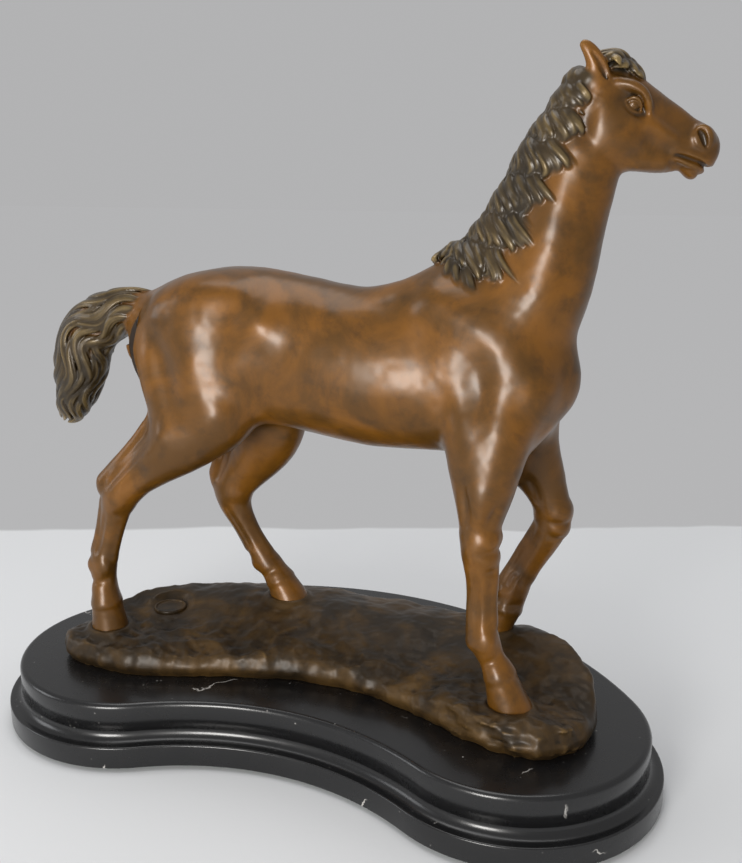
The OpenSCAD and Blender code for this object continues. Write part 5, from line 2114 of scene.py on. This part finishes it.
@dataclass(frozen=True)
class FloorFinish:
    """A plain floor: a pale cloth under the object, and a greyer surround behind it."""

    name: str = "pale_floor"
    cloth: Colour = (0.74, 0.75, 0.76)
    around: Colour = (0.44, 0.44, 0.446)
    unlit: Colour = (0.03, 0.03, 0.03)
    behind: Point = (-0.358, 0.934, 0.0)
    edge: float = 0.262

    def material(self) -> Material:
        """Make the material."""
        material, n, shader, where = fresh_material(self.name)
        away = n.add("ShaderNodeVectorMath", {0: where, 1: self.behind},
                     operation="DOT_PRODUCT").outputs["Value"]
        soft = n.noise(where, 5.0, 3.0, 0.5)
        away = n.plus(away, n.times(n.minus(soft, 0.5), 0.05))
        share = n.span(away, self.edge, self.edge + 0.006)
        weave = n.noise(where, 260.0, 3.0, 0.6)
        n.fill(shader, {
            "Base Color": n.blend(share, self.cloth, self.unlit), "Emission Color": self.around,
            "Emission Strength": share, "Normal": bumped(n, weave, 0.15, 0.0003),
            "Roughness": 0.9, "Specular IOR Level": 0.0})
        return material


HORSE_BRONZE = BronzeFinish("horse_bronze", SKIN, HAIR)
HAIR_BRONZE = replace(HORSE_BRONZE, name="hair_bronze", sheen=0.4)
GROUND_BRONZE = BronzeFinish("ground_bronze", ROCK, ROCK, sheen=0.50, metal=0.3, coat=0.25,
                             coat_rough=0.32, bump=0.6)
HIDDEN_BRONZE = replace(HORSE_BRONZE, name="inner_bronze", sculpted=False, coat=0.1, sheen=0.5)


@dataclass
class Fixings:
    """The pieces of the frame that keep their own shape: studs, washers, nuts and dowels."""

    steel: Material
    bronze: Material
    steel_nodes: tuple[str, ...] = ("plinth_studs", "plinth_washers", "plinth_nuts", "leg_dowels",
                                    "tail_dowel", "hoof_studs", "hoof_washers", "hoof_nuts")
    bronze_nodes: tuple[str, ...] = ("stud_bosses", "neck_collar", "core_plugs")

    def build(self) -> None:
        """Dress each of them."""
        dressed = [(n, self.steel) for n in self.steel_nodes]
        dressed += [(n, self.bronze) for n in self.bronze_nodes]
        for node, material in dressed:
            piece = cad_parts[node]
            piece.data.materials.clear()
            piece.data.materials.append(material)
            LOG.info("%s: dressed in %s", node, material.name)


# ---------------------------------------------------------------- studio


@dataclass
class Studio:
    """A pale floor, soft lights and the camera."""

    turn: float = 20.99
    height: float = 14.62
    place: Point = (177.19, -412.89, 261.55)
    lens: float = 41.67
    reach: float = 6.0
    aim: Point = (0.0, 0.0, 0.16)
    wall: Colour = (0.80, 0.80, 0.81)
    wall_light: float = 0.56

    def floor(self) -> None:
        """Lay the floor just under the object."""
        half, low = self.reach, -0.0004
        mesh = bpy.data.meshes.new("floor")
        mesh.from_pydata([(-half, -half, low), (half, -half, low), (half, half, low),
                          (-half, half, low)], [], [(0, 1, 2, 3)])
        piece = bpy.data.objects.new("floor", mesh)
        bpy.context.collection.objects.link(piece)
        mesh.materials.append(FloorFinish().material())

    def lamp(self, name: str, place: Point, size: tuple[float, float], power: float,
             colour: Colour = (1.0, 1.0, 1.0)) -> None:
        """One soft box, turned to the horse.

        Args:
            name: Its name.
            place: Where it stands, in metres.
            size: Its width and height.
            power: Its power in watts.
            colour: The colour of its light.
        """
        lamp = bpy.data.lights.new(name, "AREA")
        lamp.shape = "RECTANGLE"
        lamp.size, lamp.size_y = size
        lamp.energy = power
        lamp.color = colour
        piece = bpy.data.objects.new(name, lamp)
        piece.location = place
        piece.rotation_euler = (Vector(self.aim) - Vector(place)).to_track_quat("-Z", "Y").to_euler()
        bpy.context.collection.objects.link(piece)

    def build(self) -> None:
        """Set up the studio."""
        self.floor()
        self.lamp("window", (-0.06, -1.28, 0.28), (0.40, 0.44), 14.0, (1.0, 0.98, 0.95))
        self.lamp("side_fill", (-1.2, -0.5, 0.5), (0.5, 0.5), 2.5, (0.95, 0.97, 1.0))
        self.lamp("top_light", (-0.1, 0.1, 1.4), (1.0, 0.8), 7.0)
        world = bpy.data.worlds.new("studio")
        world.use_nodes = True
        sky = world.node_tree.nodes["Background"]
        sky.inputs["Color"].default_value = (*self.wall, 1.0)
        sky.inputs["Strength"].default_value = self.wall_light
        bpy.context.scene.world = world
        camera = bpy.data.cameras.new("camera")
        camera.lens = self.lens
        camera.sensor_width = 36.0
        camera.clip_start, camera.clip_end = 0.01, 20.0
        piece = bpy.data.objects.new("camera", camera)
        piece.location = [k * MM for k in self.place]
        piece.rotation_euler = (math.radians(90 - self.height), 0.0, math.radians(self.turn))
        bpy.context.collection.objects.link(piece)
        bpy.context.scene.camera = piece
        bpy.context.scene.view_settings.view_transform = "Standard"


def main() -> None:
    """Build every sub-assembly in order."""
    logging.basicConfig(level=logging.INFO, format="%(name)s %(message)s")
    Studio().build()
    kit = Kit(patina_group(), speck_group())
    horse_bronze = HORSE_BRONZE.material(kit)
    hair_bronze = HAIR_BRONZE.material(kit)
    ground_bronze = GROUND_BRONZE.material(kit)
    Plinth(MarbleFinish().material(kit), FeltFinish().material()).build()
    horse = Horse(horse_bronze, hair_bronze)
    hooves = [(leg.sole[0], leg.sole[1] + horse.shift[1], leg.ground, leg.sole[3])
              for leg in horse.legs]
    Ground(ground_bronze, hooves).build()
    Seal(ground_bronze).build()
    Fixings(SteelFinish().material(), HIDDEN_BRONZE.material(kit)).build()
    horse.build()


if __name__ == "__main__":
    main()
